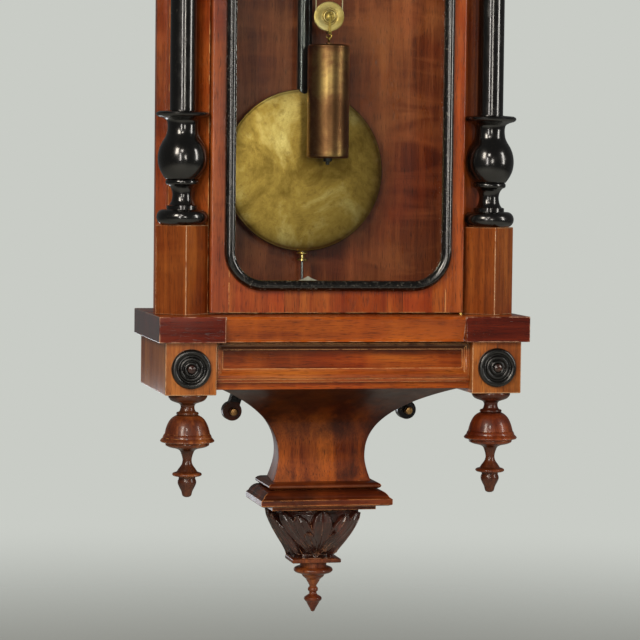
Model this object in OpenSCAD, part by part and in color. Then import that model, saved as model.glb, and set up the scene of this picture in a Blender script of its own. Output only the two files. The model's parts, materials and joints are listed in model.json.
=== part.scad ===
// Regulator wall clock: walnut case with ebonised columns, one weight and a wooden pendulum.
// Millimetres, +Z up, front towards -Y, wall at Y = 0, origin at the hanging hole.
// Most pieces are drawn in front elevation: local X is right, local Y is up, local Z is out of the wall.
// Heights are counted from the top of the base cornice, depths from the wall.

/* [Case] */
// Height of the case between the base cornice and the upper frieze
case_h = 794; // [740:1:860]
// Half width of the case over its side panels
case_half_w = 176.4; // [172:0.2:186]
// Depth at which the canted corner meets the side panel
cant_d = 99.3; // [95:0.1:110]
// Thickness of the side panels
side_t = 13; // [9:0.5:18]
// Thickness of the backboard
back_t = 12; // [8:0.5:16]
// How far the backboard stands out past the side panels
back_over = 11.6; // [4:0.1:20]
// Thickness of the floor and roof boards
board_t = 14; // [9:0.5:20]
// Width of the wooden frame round a side glass
side_frame_w = 26; // [18:0.5:36]

/* [Columns] */
// Width of the square column blocks, which stand turned by 45 degrees
plinth_w = 41.7; // [38:0.1:46]
// Height of a column block
plinth_h = 99; // [80:1:120]
// Radius of the column shaft
shaft_r = 14.7; // [11:0.1:18]
// Height of the turned stack between block and shaft
turning_h = 126; // [110:1:150]
// Radius of the base ring of the turning
ring_r = 28.8; // [24:0.1:30]
// Radius of the vase of the turning
vase_r = 27.5; // [22:0.1:29]
// Radius of the collar under the shaft
collar_r = 29.9; // [24:0.1:30.5]

/* [Door] */
// Thickness of the door frame
door_t = 18; // [14:0.5:22]
// How far the door stands in front of the canted corner
door_proud = 8.2; // [4:0.1:14]
// Gap between the door and the case, all round
door_gap = 2; // [1:0.1:4]
// Visible width of the stiles outside the moulding
stile_w = 15.3; // [10:0.1:24]
// Visible height of the rails outside the moulding
rail_w = 24; // [14:0.5:36]
// Width of the half round door moulding
moulding_w = 12; // [8:0.5:16]
// Height of the flat foot under the half round
moulding_foot = 3; // [1:0.5:5]
// Outer corner radius of the door moulding
moulding_corner = 45; // [30:1:60]
// Thickness of the glass panes
glass_t = 2.4; // [1.5:0.1:4]
// Radius of the door hinge pins
hinge_pin_r = 1.2; // [1:0.1:1.3]

/* [Base] */
// How far the base cornice stands out past the side panels
cornice_over = 33.6; // [28:0.1:44]
// Depth of the base cornice at its front blocks
cornice_d = 186.6; // [180:0.1:200]
// Thickness of the base cornice
cornice_t = 28.5; // [20:0.5:36]
// How far the middle of the cornice steps back
cornice_step = 5; // [2:0.5:12]
// Width of the lower corner blocks
block_w = 56.8; // [50:0.1:64]
// Height of the lower corner blocks
block_h = 58; // [48:1:70]
// How far the cornice stands out past the blocks
block_inset = 8; // [4:0.5:14]
// Height of the base frieze with its lower moulding
frieze_h = 45; // [36:0.5:56]
// How far the frieze moulding lies behind the block fronts
frieze_inset = 7.3; // [3:0.1:14]
// Height of the corbel
corbel_h = 115; // [100:1:130]
// Half width of the corbel at its waist
corbel_waist = 50.9; // [44:0.1:60]
// Half width of the slab under the corbel
slab_half_w = 76.9; // [70:0.1:84]
// Depth of that slab
slab_d = 95; // [88:0.5:104]
// Height of the carved pendant
pendant_h = 62; // [54:1:70]
// Length of the turned finial under the pendant
finial_h = 60; // [50:1:70]
// Depth of the finial's axis
finial_d = 25; // [24:0.5:40]

/* [Upper] */
// Height of the upper frieze
upper_frieze_h = 50; // [40:1:64]
// Thickness of the upper cornice
upper_cornice_t = 28; // [20:1:36]
// How far the upper cornice stands out past its frieze
upper_cornice_over = 22; // [12:1:30]
// Height of the crest over the upper cornice
crest_h = 96; // [70:1:120]
// Thickness of the crest board
crest_t = 20; // [12:1:28]
// Height of the turned top finials
top_finial_h = 84; // [60:1:100]
// Radius of the hanging hole
hang_r = 5; // [3:0.5:7]

/* [Pendulum] */
// Length of the pendulum to the middle of the bob, as a share of the case's height
pend_share = 0.704; // [0.66:0.001:0.72]
// Distance from the top of the case down to the bending point of the suspension
suspension_drop = 74; // [66:1:84]
// Sideways place of the pendulum
pend_x = -20; // [-24:1:0]
// Depth of the pendulum's plane
pend_d = 36; // [33:0.5:40]
// Radius of the bob
bob_r = 93.5; // [80:0.5:100]
// Thickness of the bob at its middle
bob_t = 16; // [12:0.5:20]
// Width of the wooden rod
rod_w = 16.5; // [12:0.5:20]
// Thickness of the wooden rod
rod_t = 8; // [6:0.5:9]
// Sideways place of the beat scale
scale_x = -8; // [-12:1:0]

/* [Weight] */
// Radius of the weight
weight_r = 24; // [20:0.5:26]
// Length of the weight
weight_h = 129; // [110:1:140]
// Height of the weight's lower end over the middle of the bob
weight_up = 14; // [0:1:24]
// Height of the pulley axle over the weight's top
pulley_up = 32; // [28:1:40]
// Outer radius of the pulley
pulley_r = 17; // [14:0.5:20]
// Radius of the gut line
gut_r = 0.7; // [0.5:0.1:1]
// Depth of the line, the weight and the pulley
gut_d = 75; // [72:0.5:78]

/* [Movement] */
// Radius of the dial
dial_r = 80; // [74:0.5:84]
// Half width of the movement plates
plate_half_w = 44; // [40:1:50]
// Thickness of the movement plates
plate_t = 2.5; // [2:0.1:3]
// Depth of the back plate's back face
back_plate_d = 53; // [52:0.5:54]
// Free space between the plates
plate_space = 35.5; // [35:0.5:38]
// Distance from the centre arbor to the barrel arbor
barrel_drop = 38; // [36:0.5:40]
// Distance from the centre arbor to the third arbor
third_dist = 30; // [29:0.5:32]
// Distance from the third arbor to the escape arbor
escape_dist = 26; // [25:0.5:28]
// Distance from the centre arbor to the motion wheel
motion_dist = 12; // [11.5:0.1:13]
// Tip radius of the escape wheel
escape_r = 16.5; // [15:0.1:17]
// Teeth of the great wheel
great_teeth = 168; // [144:24:168]
// Leaves of the centre pinion
centre_leaves = 7; // [6:1:8]
// Teeth of the centre wheel
centre_teeth = 80; // [72:8:80]
// Teeth of the third wheel
third_teeth = 64; // [56:8:64]
// Leaves of the third and escape pinions
train_leaves = 8; // [7:1:8]
// Teeth of the escape wheel
escape_teeth = 30; // [28:1:32]

/* [Fits] */
// Running clearance on the radius of pins and arbors
run_gap = 0.05; // [0.03:0.01:0.08]
// Gap that parts keep from parts that move past them
clear_gap = 0.4; // [0.3:0.05:0.6]

/* [Hidden] */
$fn = 64;

walnut = "#9a5228";
walnut_dark = "#7a3a1c";
carved_wood = "#2e1812";
ebony = "#15120f";
brass = "#b59a4e";
steel = "#8f9296";
blued = "#20242c";
enamel = "#f1eee2";
glass_tint = [0.85, 0.92, 0.92, 0.3];

plinth_r = plinth_w * sqrt(2) / 2;
column_d = cant_d + plinth_r;
cant_x = case_half_w - plinth_r;
hang_h = case_h + upper_frieze_h / 2;

door_front_d = column_d + door_proud;
door_back_d = door_front_d - door_t;
door_half_w = cant_x - 1.1;
post_in = 15;
stop_depth = 14;
post_side = 12;
stop_d = door_back_d - 2 * clear_gap;
edge_r = 2.6;
hinge_x = door_half_w - edge_r;
hinge_d = door_front_d - edge_r;
hinge_plate_w = 3.8;
hinge_plate_l = 18;
hinge_plate_t = 3;
ring_half_w = door_half_w - stile_w;
ring_z0 = door_gap + rail_w;
ring_z1 = case_h - door_gap - rail_w;
opening_r = moulding_corner - moulding_w / 2;

cornice_half_w = case_half_w + cornice_over;
block_d = cornice_d - block_inset + 1.2;
block_x1 = cornice_half_w - block_inset;
block_x0 = block_x1 - block_w;
block_mid = (block_x0 + block_x1) / 2;
frieze_d = block_d - frieze_inset;
frieze_panel_d = frieze_d - 6;
floor_t = 8;
drop_axis_d = block_d - 21.8;
foot_plate_t = 5;
foot_reach = 24;
foot_drop = 32;
corbel_steps = 22;
pendant_sides = 14;
corbel_top_z = -cornice_t - frieze_h - floor_t;
corbel_foot_z = corbel_top_z - corbel_h;
pendant_top_z = corbel_foot_z - foot_drop;
plate_top_z = pendant_top_z - pendant_h;

suspension_z = case_h - suspension_drop;
bob_z = suspension_z - case_h * pend_share;
weight_z = bob_z + weight_up;
anchor_dist = escape_r * sqrt(2);
escape_x = pend_x * 0.7;
escape_up = 36;
anchor_up = escape_up + sqrt(pow(anchor_dist, 2) - pow(pend_x - escape_x, 2));
dial_z = suspension_z - anchor_up;
front_plate_d = back_plate_d + plate_t + plate_space;
movement_front_d = front_plate_d + plate_t;
dial_d = movement_front_d + 8;
dial_t = 2;
pulley_z = weight_z + weight_h + pulley_up;
seat_gap = 0.3;
gut_x = pulley_r - 2.3 + gut_r;
drum_r = gut_x - gut_r - seat_gap;
plate_low = 68;
plate_high = 72;
hook_drop = 62;

hanger_t = 2.5;
hanger_size = [64, 34];
hanger_screw_x = 24;
side_rebate = 4;
rosette_r = 22;
lug_x = block_x0 - 41.8;
lug_d = 45;
lug_t = 14;
lug_w = 12.4;
lug_lean = 18;
lug_end_r = 11;
screw_r = 2.5;
screw_z = -116;
screw_head_r = 4.6;
crest_half_w = block_x0 - 13.2;
screw_free = 5;
top_half_w = cornice_half_w - 3;
stile_in = ring_half_w - moulding_w / 2;
latch_x = door_half_w - 7.5;
latch_z = case_h * 0.55;
latch_r = 2.2;
tongue_t = 2.4;
tongue_l = 12.6;
tongue_w = 4.8;
tongue_d = door_back_d + 3;
bracket_x = plate_half_w - 5.5;
barrel_arbor_r = 2.6;
pillar_x = plate_half_w - 6;

// Distance between two points of a plan
function dist(a, b) = norm(b - a);
// Angle of the line from a to b
function bearing(a, b) = atan2(b[1] - a[1], b[0] - a[0]);
// Corner of the triangle over a and b with sides ra and rb, on the right of the line
function meet(a, b, ra, rb) =
    let (c = dist(a, b), t = bearing(a, b) - acos((ra * ra + c * c - rb * rb) / (2 * ra * c)))
    a + ra * [cos(t), sin(t)];

centre_pos = [0, 0];
barrel_pos = [0, -barrel_drop];
escape_pos = [escape_x, escape_up];
anchor_pos = [pend_x, anchor_up];
third_pos = meet(centre_pos, escape_pos, third_dist, escape_dist);
motion_pos = motion_dist * [cos(-35), sin(-35)];
great_mod = 2 * barrel_drop / (great_teeth + centre_leaves);
centre_mod = 2 * third_dist / (centre_teeth + train_leaves);
third_mod = 2 * escape_dist / (third_teeth + train_leaves);
cannon_leaves = 12;
minute_teeth = 36;
minute_leaves = 10;
hour_teeth = 40;
cannon_mod = 2 * motion_dist / (cannon_leaves + minute_teeth);
hour_mod = 2 * motion_dist / (minute_leaves + hour_teeth);
arbor_r = 1.6;
pivot_r = 0.9;

dial_feet = [for (a = [30, 150, 270 - 38]) (plate_half_w - 4) * [cos(a), sin(a)]];
back_in = back_plate_d + plate_t;
great_wheel_d = back_in + 4.5;
ratchet_r = 13;
click_a = 60;
click_pos = (ratchet_r + 6) * [cos(click_a), sin(click_a)];
barrel_w = 20;
centre_wheel_d = back_in + 1;
minute_d = dial_d + 8.5;
hour_wheel_d = movement_front_d + 4.2;
hour_d = dial_d + 5;
third_wheel_d = back_in + 14.5;
escape_wheel_d = back_in + 24;
crutch_d = pend_d + rod_t / 2 + 3;
crutch_drop = 48;
crutch_pin_r = 1.4;
susp_pin_r = 1.5;
susp_pin_up = 6;
block_low = 1;
strip_t = 0.4;
slot_half = strip_t / 2 + clear_gap;
rod_top = 24;
rod_end = bob_z - bob_r * 0.6;
pulley_t = 7;
axle_r = 1.4;
hook_r = 2.8;
wire_r = 1;
eye_r = 2.3;
hook_up = pulley_r + 2.2 + hook_r;
eye_up = pulley_up - hook_up - hook_r - (eye_r - wire_r - clear_gap);
// Pendant outline, [half width, depth, height share]
pendant_rows = [[53, 69, 0], [54, 71.5, 0.12], [52.5, 72, 0.24], [49, 69.5, 0.37], [44.5, 64, 0.51], [39, 56.5, 0.66],
    [33.5, 48, 0.8], [29.5, 41.5, 0.92], [28, 39, 1]];

// Points of an arc round c from angle a0 to a1
function arc(c, r, a0, a1, n = 10) = [for (i = [0:n]) let (a = a0 + (a1 - a0) * i / n) c + r * [cos(a), sin(a)]];
// Smooth S-shaped stretch of a turned profile from [r, z] to [r, z]
function ease(a, b, n = 6) = [for (i = [0:n]) let (t = i / n) [a[0] + (b[0] - a[0]) * (1 - cos(180 * t)) / 2,
    a[1] + (b[1] - a[1]) * t]];
// Rounded bead of a turned profile between two heights
function bead(r0, z0, r1, z1, n = 8) = [for (i = [0:n]) let (a = 180 * i / n)
    [r0 + (r1 - r0) * sin(a), (z0 + z1) / 2 - (z1 - z0) / 2 * cos(a)]];

// Moves a piece from the case's heights to the origin at the hanging hole
module placed() translate([0, 0, -hang_h]) children();
// Front elevation at a depth: local Z points out of the wall
module in_front(d) placed() translate([0, -d, 0]) rotate([90, 0, 0]) children();
// Front elevation at a depth with the dial centre as origin
module at_movement(d, pos = [0, 0]) in_front(d) translate([pos[0], dial_z + pos[1], 0]) children();
module mirror_pair() {
    children();
    mirror([1, 0, 0]) children();
}
// A side view profile, [depth, height], drawn out over a width along X
module along_x(len) placed() translate([-len / 2, 0, 0]) rotate([90, 0, 90]) linear_extrude(len)
    mirror([1, 0, 0]) children();
// A plan, [x, depth], drawn up from a height
module upright(z0, h) placed() translate([0, 0, z0]) mirror([0, 1, 0]) linear_extrude(h) children();
// A turned piece standing at [x, depth]
module turned(x, d, z0) placed() translate([x, -d, z0]) rotate_extrude() children();
module turned_down(x, d, z0) placed() translate([x, -d, z0]) mirror([0, 0, 1]) rotate_extrude() children();
// A block against the wall whose front and sides share one profile of [reach, height]
module moulded(half, depth, profile) intersection() {
    in_front(0) linear_extrude(2 * depth) polygon(concat(
        [for (p = profile) [half + p[0], p[1]]], [for (i = [len(profile) - 1:-1:0]) [-half - profile[i][0], profile[i][1]]]));
    along_x(4 * half) polygon(concat(
        [for (p = profile) [depth + p[0], p[1]]], [[0, profile[len(profile) - 1][1]], [0, profile[0][1]]]));
}
module rect(x0, y0, x1, y1) translate([x0, y0]) square([x1 - x0, y1 - y0]);
module round_rect(x0, y0, x1, y1, r) {
    rect(x0 + r, y0, x1 - r, y1);
    rect(x0, y0 + r, x1, y1 - r);
    for (x = [x0 + r, x1 - r], y = [y0 + r, y1 - r]) translate([x, y]) circle(r);
}

// Case

module backboard() color(walnut) {
    half = case_half_w + back_over;
    difference() {
        in_front(0) linear_extrude(back_t) rect(-half, 0, half, case_h + upper_frieze_h);
        in_front(-1) linear_extrude(hanger_t + 1) translate([0, hang_h]) square(hanger_size, center = true);
        in_front(-1) linear_extrude(back_t + 2) translate([0, hang_h]) circle(hang_r + 4);
    }
}

module hanger_plate() color(steel) difference() {
    in_front(0) linear_extrude(hanger_t) translate([0, hang_h]) square(hanger_size - [0.4, 0.4], center = true);
    in_front(-1) linear_extrude(hanger_t + 2) translate([0, hang_h]) circle(hang_r);
    for (s = [-1, 1]) in_front(-1) translate([s * hanger_screw_x, hang_h, 0]) {
        cylinder(h = hanger_t + 2, r = 1.8);
        cylinder(h = 2.2, r1 = 3.9, r2 = 1.8);
    }
}

module corner_posts() color(walnut_dark) difference() {
    mirror_pair() upright(0, case_h) polygon([
        [cant_x, column_d], [case_half_w, cant_d], [case_half_w, cant_d - post_side], [case_half_w - side_t, cant_d - post_side],
        [cant_x - post_in, stop_d - stop_depth], [cant_x - post_in, stop_d], [cant_x, stop_d]]);
    in_front(tongue_d - clear_gap) translate([-latch_x, latch_z, 0]) linear_extrude(tongue_t + 2 * clear_gap)
        rect(-tongue_l - 1, -tongue_w / 2 - clear_gap, 0, tongue_l + clear_gap);
}

module side_panels() color(walnut) mirror_pair() difference() {
    upright(0, case_h) rect(case_half_w - side_t, back_t, case_half_w, cant_d - post_side);
    upright(side_frame_w, case_h - 2 * side_frame_w) rect(case_half_w - side_t - 1, back_t + side_frame_w * 0.7,
        case_half_w + 1, cant_d - post_side - side_frame_w * 0.7);
    upright(side_frame_w - side_rebate, case_h - 2 * side_frame_w + 2 * side_rebate)
        rect(case_half_w - side_t - 1, back_t + side_frame_w * 0.7 - side_rebate,
            case_half_w - side_t + glass_t, cant_d - post_side - side_frame_w * 0.7 + side_rebate);
}

module side_glasses() color(glass_tint) mirror_pair()
    upright(side_frame_w - side_rebate, case_h - 2 * side_frame_w + 2 * side_rebate)
        rect(case_half_w - side_t, back_t + side_frame_w * 0.7 - side_rebate,
            case_half_w - side_t + glass_t, cant_d - post_side - side_frame_w * 0.7 + side_rebate);

module case_board(z0) upright(z0, board_t) polygon([
    [-(case_half_w - side_t), back_t], [case_half_w - side_t, back_t], [case_half_w - side_t, cant_d - post_side],
    [cant_x - post_in, stop_d - stop_depth], [cant_x - post_in, stop_d], [-(cant_x - post_in), stop_d],
    [-(cant_x - post_in), stop_d - stop_depth], [-(case_half_w - side_t), cant_d - post_side]]);
module case_boards() color(walnut) {
    case_board(0);
    case_board(case_h - board_t);
}

// Columns

module column_blocks() color(walnut) for (s = [-1, 1], z = [0, case_h - plinth_h])
    placed() translate([s * case_half_w, -column_d, z + plinth_h / 2]) rotate(45)
        cube([plinth_w, plinth_w, plinth_h], center = true);

// Half of a column's outline from the block up to the shaft
function column_turning() = concat(
    [[0, 0]], bead(ring_r - 8, 0, ring_r, 19),
    [[18.1, 19], [18.1, 23]], ease([16.5, 23], [11.4, 33], 5), ease([11.4, 35], [14.6, 44], 4),
    bead(14.6, 44, 15.8, 50, 4), [[14, 51]], ease([14, 51], [vase_r, 74], 7), ease([vase_r, 76], [17.1, 106], 8),
    ease([17.1, 108], [collar_r - 2, 117], 4), bead(collar_r - 2, 117, collar_r, 124, 4),
    [[shaft_r + 3, turning_h - 1], [shaft_r, turning_h]]);

module columns() color(ebony) {
    low = column_turning();
    span = case_h - 2 * plinth_h;
    high = [for (i = [len(low) - 1:-1:0]) [low[i][0], span - low[i][1]]];
    mirror_pair() difference() {
        turned(case_half_w, column_d, plinth_h) polygon(concat(low, high));
        placed() translate([case_half_w, -column_d, plinth_h - 1]) rotate(45)
            translate([-2 * collar_r, plinth_w / 2, 0]) cube([4 * collar_r, collar_r, span + 2]);
    }
}

// Base

module base_cornice() color(walnut_dark) {
    half_in = block_x0 - 9;
    upright(-cornice_t, cornice_t) polygon([
        [-cornice_half_w, 0], [cornice_half_w, 0], [cornice_half_w, cornice_d], [half_in, cornice_d],
        [half_in, cornice_d - cornice_step - 14], [-half_in, cornice_d - cornice_step - 14],
        [-half_in, cornice_d], [-cornice_half_w, cornice_d]]);
    along_x(2 * half_in) polygon([
        [cornice_d - cornice_step - 14, 0], [cornice_d - cornice_step + 2, 0], [cornice_d - cornice_step + 3, -3],
        [cornice_d - cornice_step - 6, -cornice_t + 3], [cornice_d - cornice_step - 5, -cornice_t],
        [cornice_d - cornice_step - 14, -cornice_t]]);
}

module base_frieze() color(walnut) {
    top = -cornice_t;
    along_x(2 * block_x0) polygon([
        [frieze_panel_d, top], [frieze_panel_d, top - frieze_h], [frieze_panel_d, top - frieze_h - floor_t],
        [0, top - frieze_h - floor_t], [0, top - frieze_h], [frieze_panel_d - 12, top - frieze_h],
        [frieze_panel_d - 12, top]]);
}

module frieze_moulding() color(walnut_dark) {
    top = -cornice_t;
    out = frieze_d - frieze_panel_d;
    in_front(frieze_panel_d) {
        difference() {
            linear_extrude(out * 0.6) rect(-block_x0, top - frieze_h, block_x0, top);
            translate([0, 0, -1]) linear_extrude(out + 2)
                rect(-block_x0 + 8, top - frieze_h + 9, block_x0 - 8, top - 9);
        }
        difference() {
            linear_extrude(out) rect(-block_x0, top - frieze_h, block_x0, top);
            translate([0, 0, -1]) linear_extrude(out + 2)
                rect(-block_x0 + 4, top - frieze_h + 5, block_x0 - 4, top - 5);
        }
    }
}

module base_blocks() color(walnut) mirror_pair()
    upright(-cornice_t - block_h, block_h) rect(block_x0, 0, block_x1, block_d);

// Ring turned button with its axis out of the wall, [radius, height] profile
function rosette_profile(r) = concat([[0, 0], [r, 0], [r, 2]], [[r * 0.93, 4.2]],
    [[r * 0.86, 5.2], [r * 0.78, 4.6], [r * 0.7, 2.6]],
    [[r * 0.62, 3.4], [r * 0.55, 4.6], [r * 0.47, 3.6]], [[r * 0.42, 2.6], [r * 0.36, 4], [r * 0.29, 4.6], [r * 0.24, 3.6]],
    [[r * 0.2, 5.4], [r * 0.1, 6.6], [0, 7]]);

module block_rosettes() color(ebony) mirror_pair()
    in_front(block_d) translate([block_mid, -cornice_t - block_h / 2, 0]) rotate_extrude()
        polygon(rosette_profile(rosette_r));

// Outline of a corner drop, [radius, distance down]
function drop_profile() = concat([[0, 0], [21.6, 0], [21.6, 3]], ease([20, 4], [8.6, 10], 5), [[8, 13]],
    bead(8, 14, 10.5, 18, 4), ease([9, 19], [24, 33], 5), ease([24, 33], [29.4, 50], 5), [[29.8, 52], [29, 55]],
    ease([24.3, 59], [12, 62], 3), ease([8.3, 64], [4.6, 74], 5), ease([4.6, 75], [8.8, 85], 5),
    bead(12, 86, 16.6, 90, 4), ease([7.7, 92], [10, 98], 4), ease([10, 98], [4.4, 108], 5),
    [[3, 111], [1.4, 113], [0, 114]]);

// Outline of the finial under the pendant
function finial_profile(h) = [for (p = concat([[0, 0], [15.5, 0], [15.5, 5]], bead(15.5, 6, 23, 14, 6),
    ease([13, 16], [7.6, 23], 4), [[4.2, 28.5], [4.2, 30]], bead(4.2, 30.5, 6, 36, 4), [[4.4, 37.5]],
    ease([4.4, 38], [10.4, 43.5], 4), ease([10.4, 44.5], [7.2, 49.5], 4), [[4, 55], [2, 59], [0, 60]])) [p[0], p[1] * h / 60]];

module drop_finials() color(walnut) {
    mirror_pair() turned_down(block_mid, drop_axis_d, -cornice_t - block_h) polygon(drop_profile());
    turned_down(0, finial_d, plate_top_z - foot_plate_t) polygon(finial_profile(finial_h));
    upright(plate_top_z - foot_plate_t, foot_plate_t) rect(-28.9, 0, 28.9, 42.5);
}

// Leaning arm of a lug, drawn to a height above the top of the corbel
function lug_arm(up) = let (rise = corbel_top_z + up - screw_z, half_w = lug_w / cos(lug_lean) / 2,
    top_x = lug_x - rise * tan(lug_lean)) [[lug_x - half_w, screw_z], [lug_x + half_w, screw_z],
    [top_x + half_w, screw_z + rise], [top_x - half_w, screw_z + rise]];

// Corbel sections, [share of the height, half width, depth], from its top down
function corbel_half_w(t) = corbel_waist + (block_x0 - 9 - corbel_waist) * pow(max(0, 0.76 - t) / 0.76, 2.3)
    + 6.7 * pow(max(0, t - 0.76) / 0.24, 1.6);
function corbel_depth(t) = 62.5 + (frieze_panel_d - 4 - 62.5) * pow(max(0, 0.76 - t) / 0.76, 3.2)
    + 4 * pow(max(0, t - 0.76) / 0.24, 1.6);

module corbel() color(walnut_dark) placed() {
    rings = [for (i = [0:corbel_steps]) let (t = i / corbel_steps, z = corbel_top_z - corbel_h * t,
        w = corbel_half_w(t), b = w - 10 * (1 - t * 0.4), d = corbel_depth(t))
        [[-w, -d, z], [w, -d, z], [b, 0, z], [-b, 0, z]]];
    n = corbel_steps;
    pts = [for (r = rings) each r];
    sides = [for (i = [0:n - 1], k = [0:3]) let (j = (k + 1) % 4, a = 4 * i, b = 4 * (i + 1))
        each [[a + k, a + j, b + j], [a + k, b + j, b + k]]];
    caps = [[3, 2, 1], [3, 1, 0], [4 * n, 4 * n + 1, 4 * n + 2], [4 * n, 4 * n + 2, 4 * n + 3]];
    difference() {
        polyhedron(pts, concat(sides, caps));
        mirror_pair() translate([0, -lug_d + lug_t / 2, 0]) rotate([90, 0, 0])
            linear_extrude(lug_t) polygon(lug_arm(1));
    }
}

// Mouldings under the corbel: bead, sloped slab and fillet, [reach, drop]
function foot_profile() = [for (p = concat([[5, 0]], bead(5, 0, 13, 8, 6), [[9, 9]], arc([9, 22], 13, -90, -25, 5),
    [[23, 18], [foot_reach, 19], [foot_reach, 25], [20, 26.5], [9, 27.5], [8, foot_drop]])) [p[0] - foot_reach, corbel_foot_z - p[1]]];

module corbel_foot() color(walnut) moulded(slab_half_w, slab_d, foot_profile());

// Bulging plan with rounded front corners, flat at the wall
module pendant() color(carved_wood) placed() {
    n = len(pendant_rows) - 1;
    m = pendant_sides;
    pts = [for (r = pendant_rows, k = [0:m]) let (a = 180 * k / m - 90)
        [r[0] * sign(a) * pow(abs(sin(a)), 0.6), -r[1] * pow(abs(cos(a)), 0.6), pendant_top_z - pendant_h * r[2]]];
    sides = [for (i = [0:n - 1], k = [0:m]) let (j = (k + 1) % (m + 1), a = (m + 1) * i, b = a + m + 1)
        each [[a + k, a + j, b + j], [a + k, b + j, b + k]]];
    last = (m + 1) * n;
    caps = [for (k = [1:m - 1]) each [[0, k + 1, k], [last, last + k, last + k + 1]]];
    polyhedron(pts, concat(sides, caps));
}

// Lugs beside the corbel that carry the levelling screws
module wall_lugs() color(ebony) mirror_pair() difference() {
    in_front(lug_d - lug_t / 2) linear_extrude(lug_t) {
        translate([lug_x, screw_z]) circle(lug_end_r);
        polygon(lug_arm(0));
    }
    in_front(0) translate([lug_x, screw_z, 0]) cylinder(h = 2 * lug_d, r = screw_r + run_gap);
}

module levelling_screw(s) color(brass) in_front(0) translate([s * lug_x, screw_z, 0]) rotate_extrude()
    let (head = lug_d + lug_t / 2 + screw_free) polygon([[0, 0], [1.2, 1.5], [screw_r, 4], [screw_r, head],
        [screw_head_r - 1, head], [screw_head_r, head + 1], [screw_head_r, head + 5], [screw_head_r - 1, head + 6.5],
        [0, head + 7]]);
module levelling_screw_left() levelling_screw(-1);
module levelling_screw_right() levelling_screw(1);

// Upper parts

module upper_frieze() color(walnut) {
    in_x = block_x0 - 4;
    in_d = frieze_panel_d - 12;
    upright(case_h, upper_frieze_h) polygon([[-top_half_w, back_t], [-top_half_w, block_d], [-block_x0, block_d],
        [-block_x0, frieze_panel_d], [block_x0, frieze_panel_d], [block_x0, block_d], [top_half_w, block_d],
        [top_half_w, back_t], [in_x, back_t], [in_x, in_d], [-in_x, in_d], [-in_x, back_t]]);
    upright(case_h, floor_t) rect(-in_x - 1, back_t, in_x + 1, in_d + 1);
}

// Cornice outline from its underside up, [reach, rise]
function upper_profile() = let (o = upper_cornice_over, z = case_h + upper_frieze_h, k = upper_cornice_t / 28)
    [for (p = concat([[0, 28], [o, 28], [o, 23]], [[o - 2, 22]], ease([o - 3, 21], [7, 9], 8), [[5, 8], [5, 5]],
        bead(3, 5, 5, 1, 4), [[0, 0]])) [p[0], z + p[1] * k]];

module upper_cornice() color(walnut_dark) moulded(top_half_w, block_d, upper_profile());

module crest() color(walnut) {
    z = case_h + upper_frieze_h + upper_cornice_t;
    base = crest_h * 0.34;
    in_front(block_d - 40) {
        linear_extrude(crest_t) translate([0, z]) polygon(concat(
            [[-crest_half_w, 0], [crest_half_w, 0], [crest_half_w, base * 0.5]],
            [for (i = [0:12]) let (t = i / 12) [crest_half_w * (1 - t * 0.62), base * 0.5 + base * (1 - cos(90 * t)) * 1.1]],
            arc([0, base * 1.1], crest_h - base * 1.1 - 9, 20, 160, 16),
            [for (i = [12:-1:0]) let (t = i / 12) [-crest_half_w * (1 - t * 0.62), base * 0.5 + base * (1 - cos(90 * t)) * 1.1]],
            [[-crest_half_w, base * 0.5]]));
        linear_extrude(crest_t) rect(-16, z + crest_h * 0.6, 16, z + crest_h - 8);
        translate([0, z + base * 1.25, crest_t]) rotate_extrude() polygon(rosette_profile(crest_h * 0.32));
    }
    upright(z, 6) rect(-crest_half_w - 12, block_d - 52, crest_half_w + 12, block_d - 8);
}

function top_finial_profile(h) = [for (p = concat([[0, 0], [17, 0], [17, 6]], ease([15, 8], [7, 14], 4),
    bead(7, 14, 12, 20, 4), ease([8, 21], [18.5, 40], 6), ease([18.5, 42], [6, 58], 6), bead(6, 58, 9, 63, 4),
    ease([5, 64], [8, 71], 4), ease([8, 72], [1.5, 82], 4), [[0, 84]])) p * h / 84];

module top_finials() color(walnut) {
    z = case_h + upper_frieze_h + upper_cornice_t;
    mirror_pair() turned(block_mid, drop_axis_d, z) polygon(top_finial_profile(top_finial_h));
    turned(0, block_d - 40 + crest_t / 2, z + crest_h - 8) polygon(top_finial_profile(top_finial_h * 0.72));
}

// Door

module at_door_ends() for (top = [0, 1]) placed() translate([0, 0, top * case_h]) mirror([0, 0, top]) children();

module hinge_pins() color(brass) at_door_ends() translate([hinge_x, -hinge_d, 0]) rotate_extrude() polygon(
    [[0, 0], [2.2, 0], [2.2, door_gap - clear_gap], [hinge_pin_r, door_gap - clear_gap],
        [hinge_pin_r, door_gap + hinge_plate_t - 0.7], [0, door_gap + hinge_plate_t - 0.2]]);

// Brass plate let into the door's end, in plan
module hinge_plate() mirror([0, 1, 0]) linear_extrude(hinge_plate_t) {
    translate([hinge_x, hinge_d]) circle(hinge_plate_w / 2);
    rect(hinge_x - hinge_plate_l, hinge_d - hinge_plate_w / 2, hinge_x, hinge_d + hinge_plate_w / 2);
}
module hinge_eyes() color(brass) at_door_ends() translate([0, 0, door_gap]) difference() {
    hinge_plate();
    translate([hinge_x, -hinge_d, -1]) cylinder(h = hinge_plate_t + 2, r = hinge_pin_r + run_gap);
}

module door_stiles() color(walnut) difference() {
    mirror_pair() upright(door_gap, case_h - 2 * door_gap) {
        rect(stile_in, door_back_d, door_half_w - edge_r, door_front_d);
        rect(stile_in, door_back_d, door_half_w, door_front_d - edge_r);
        translate([hinge_x, hinge_d]) circle(edge_r);
    }
    at_door_ends() translate([0, 0, door_gap]) hinge_plate();
    in_front(tongue_d) translate([-latch_x, latch_z, 0]) cylinder(h = door_t, r = latch_r + run_gap);
    latch_pocket();
}

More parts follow.
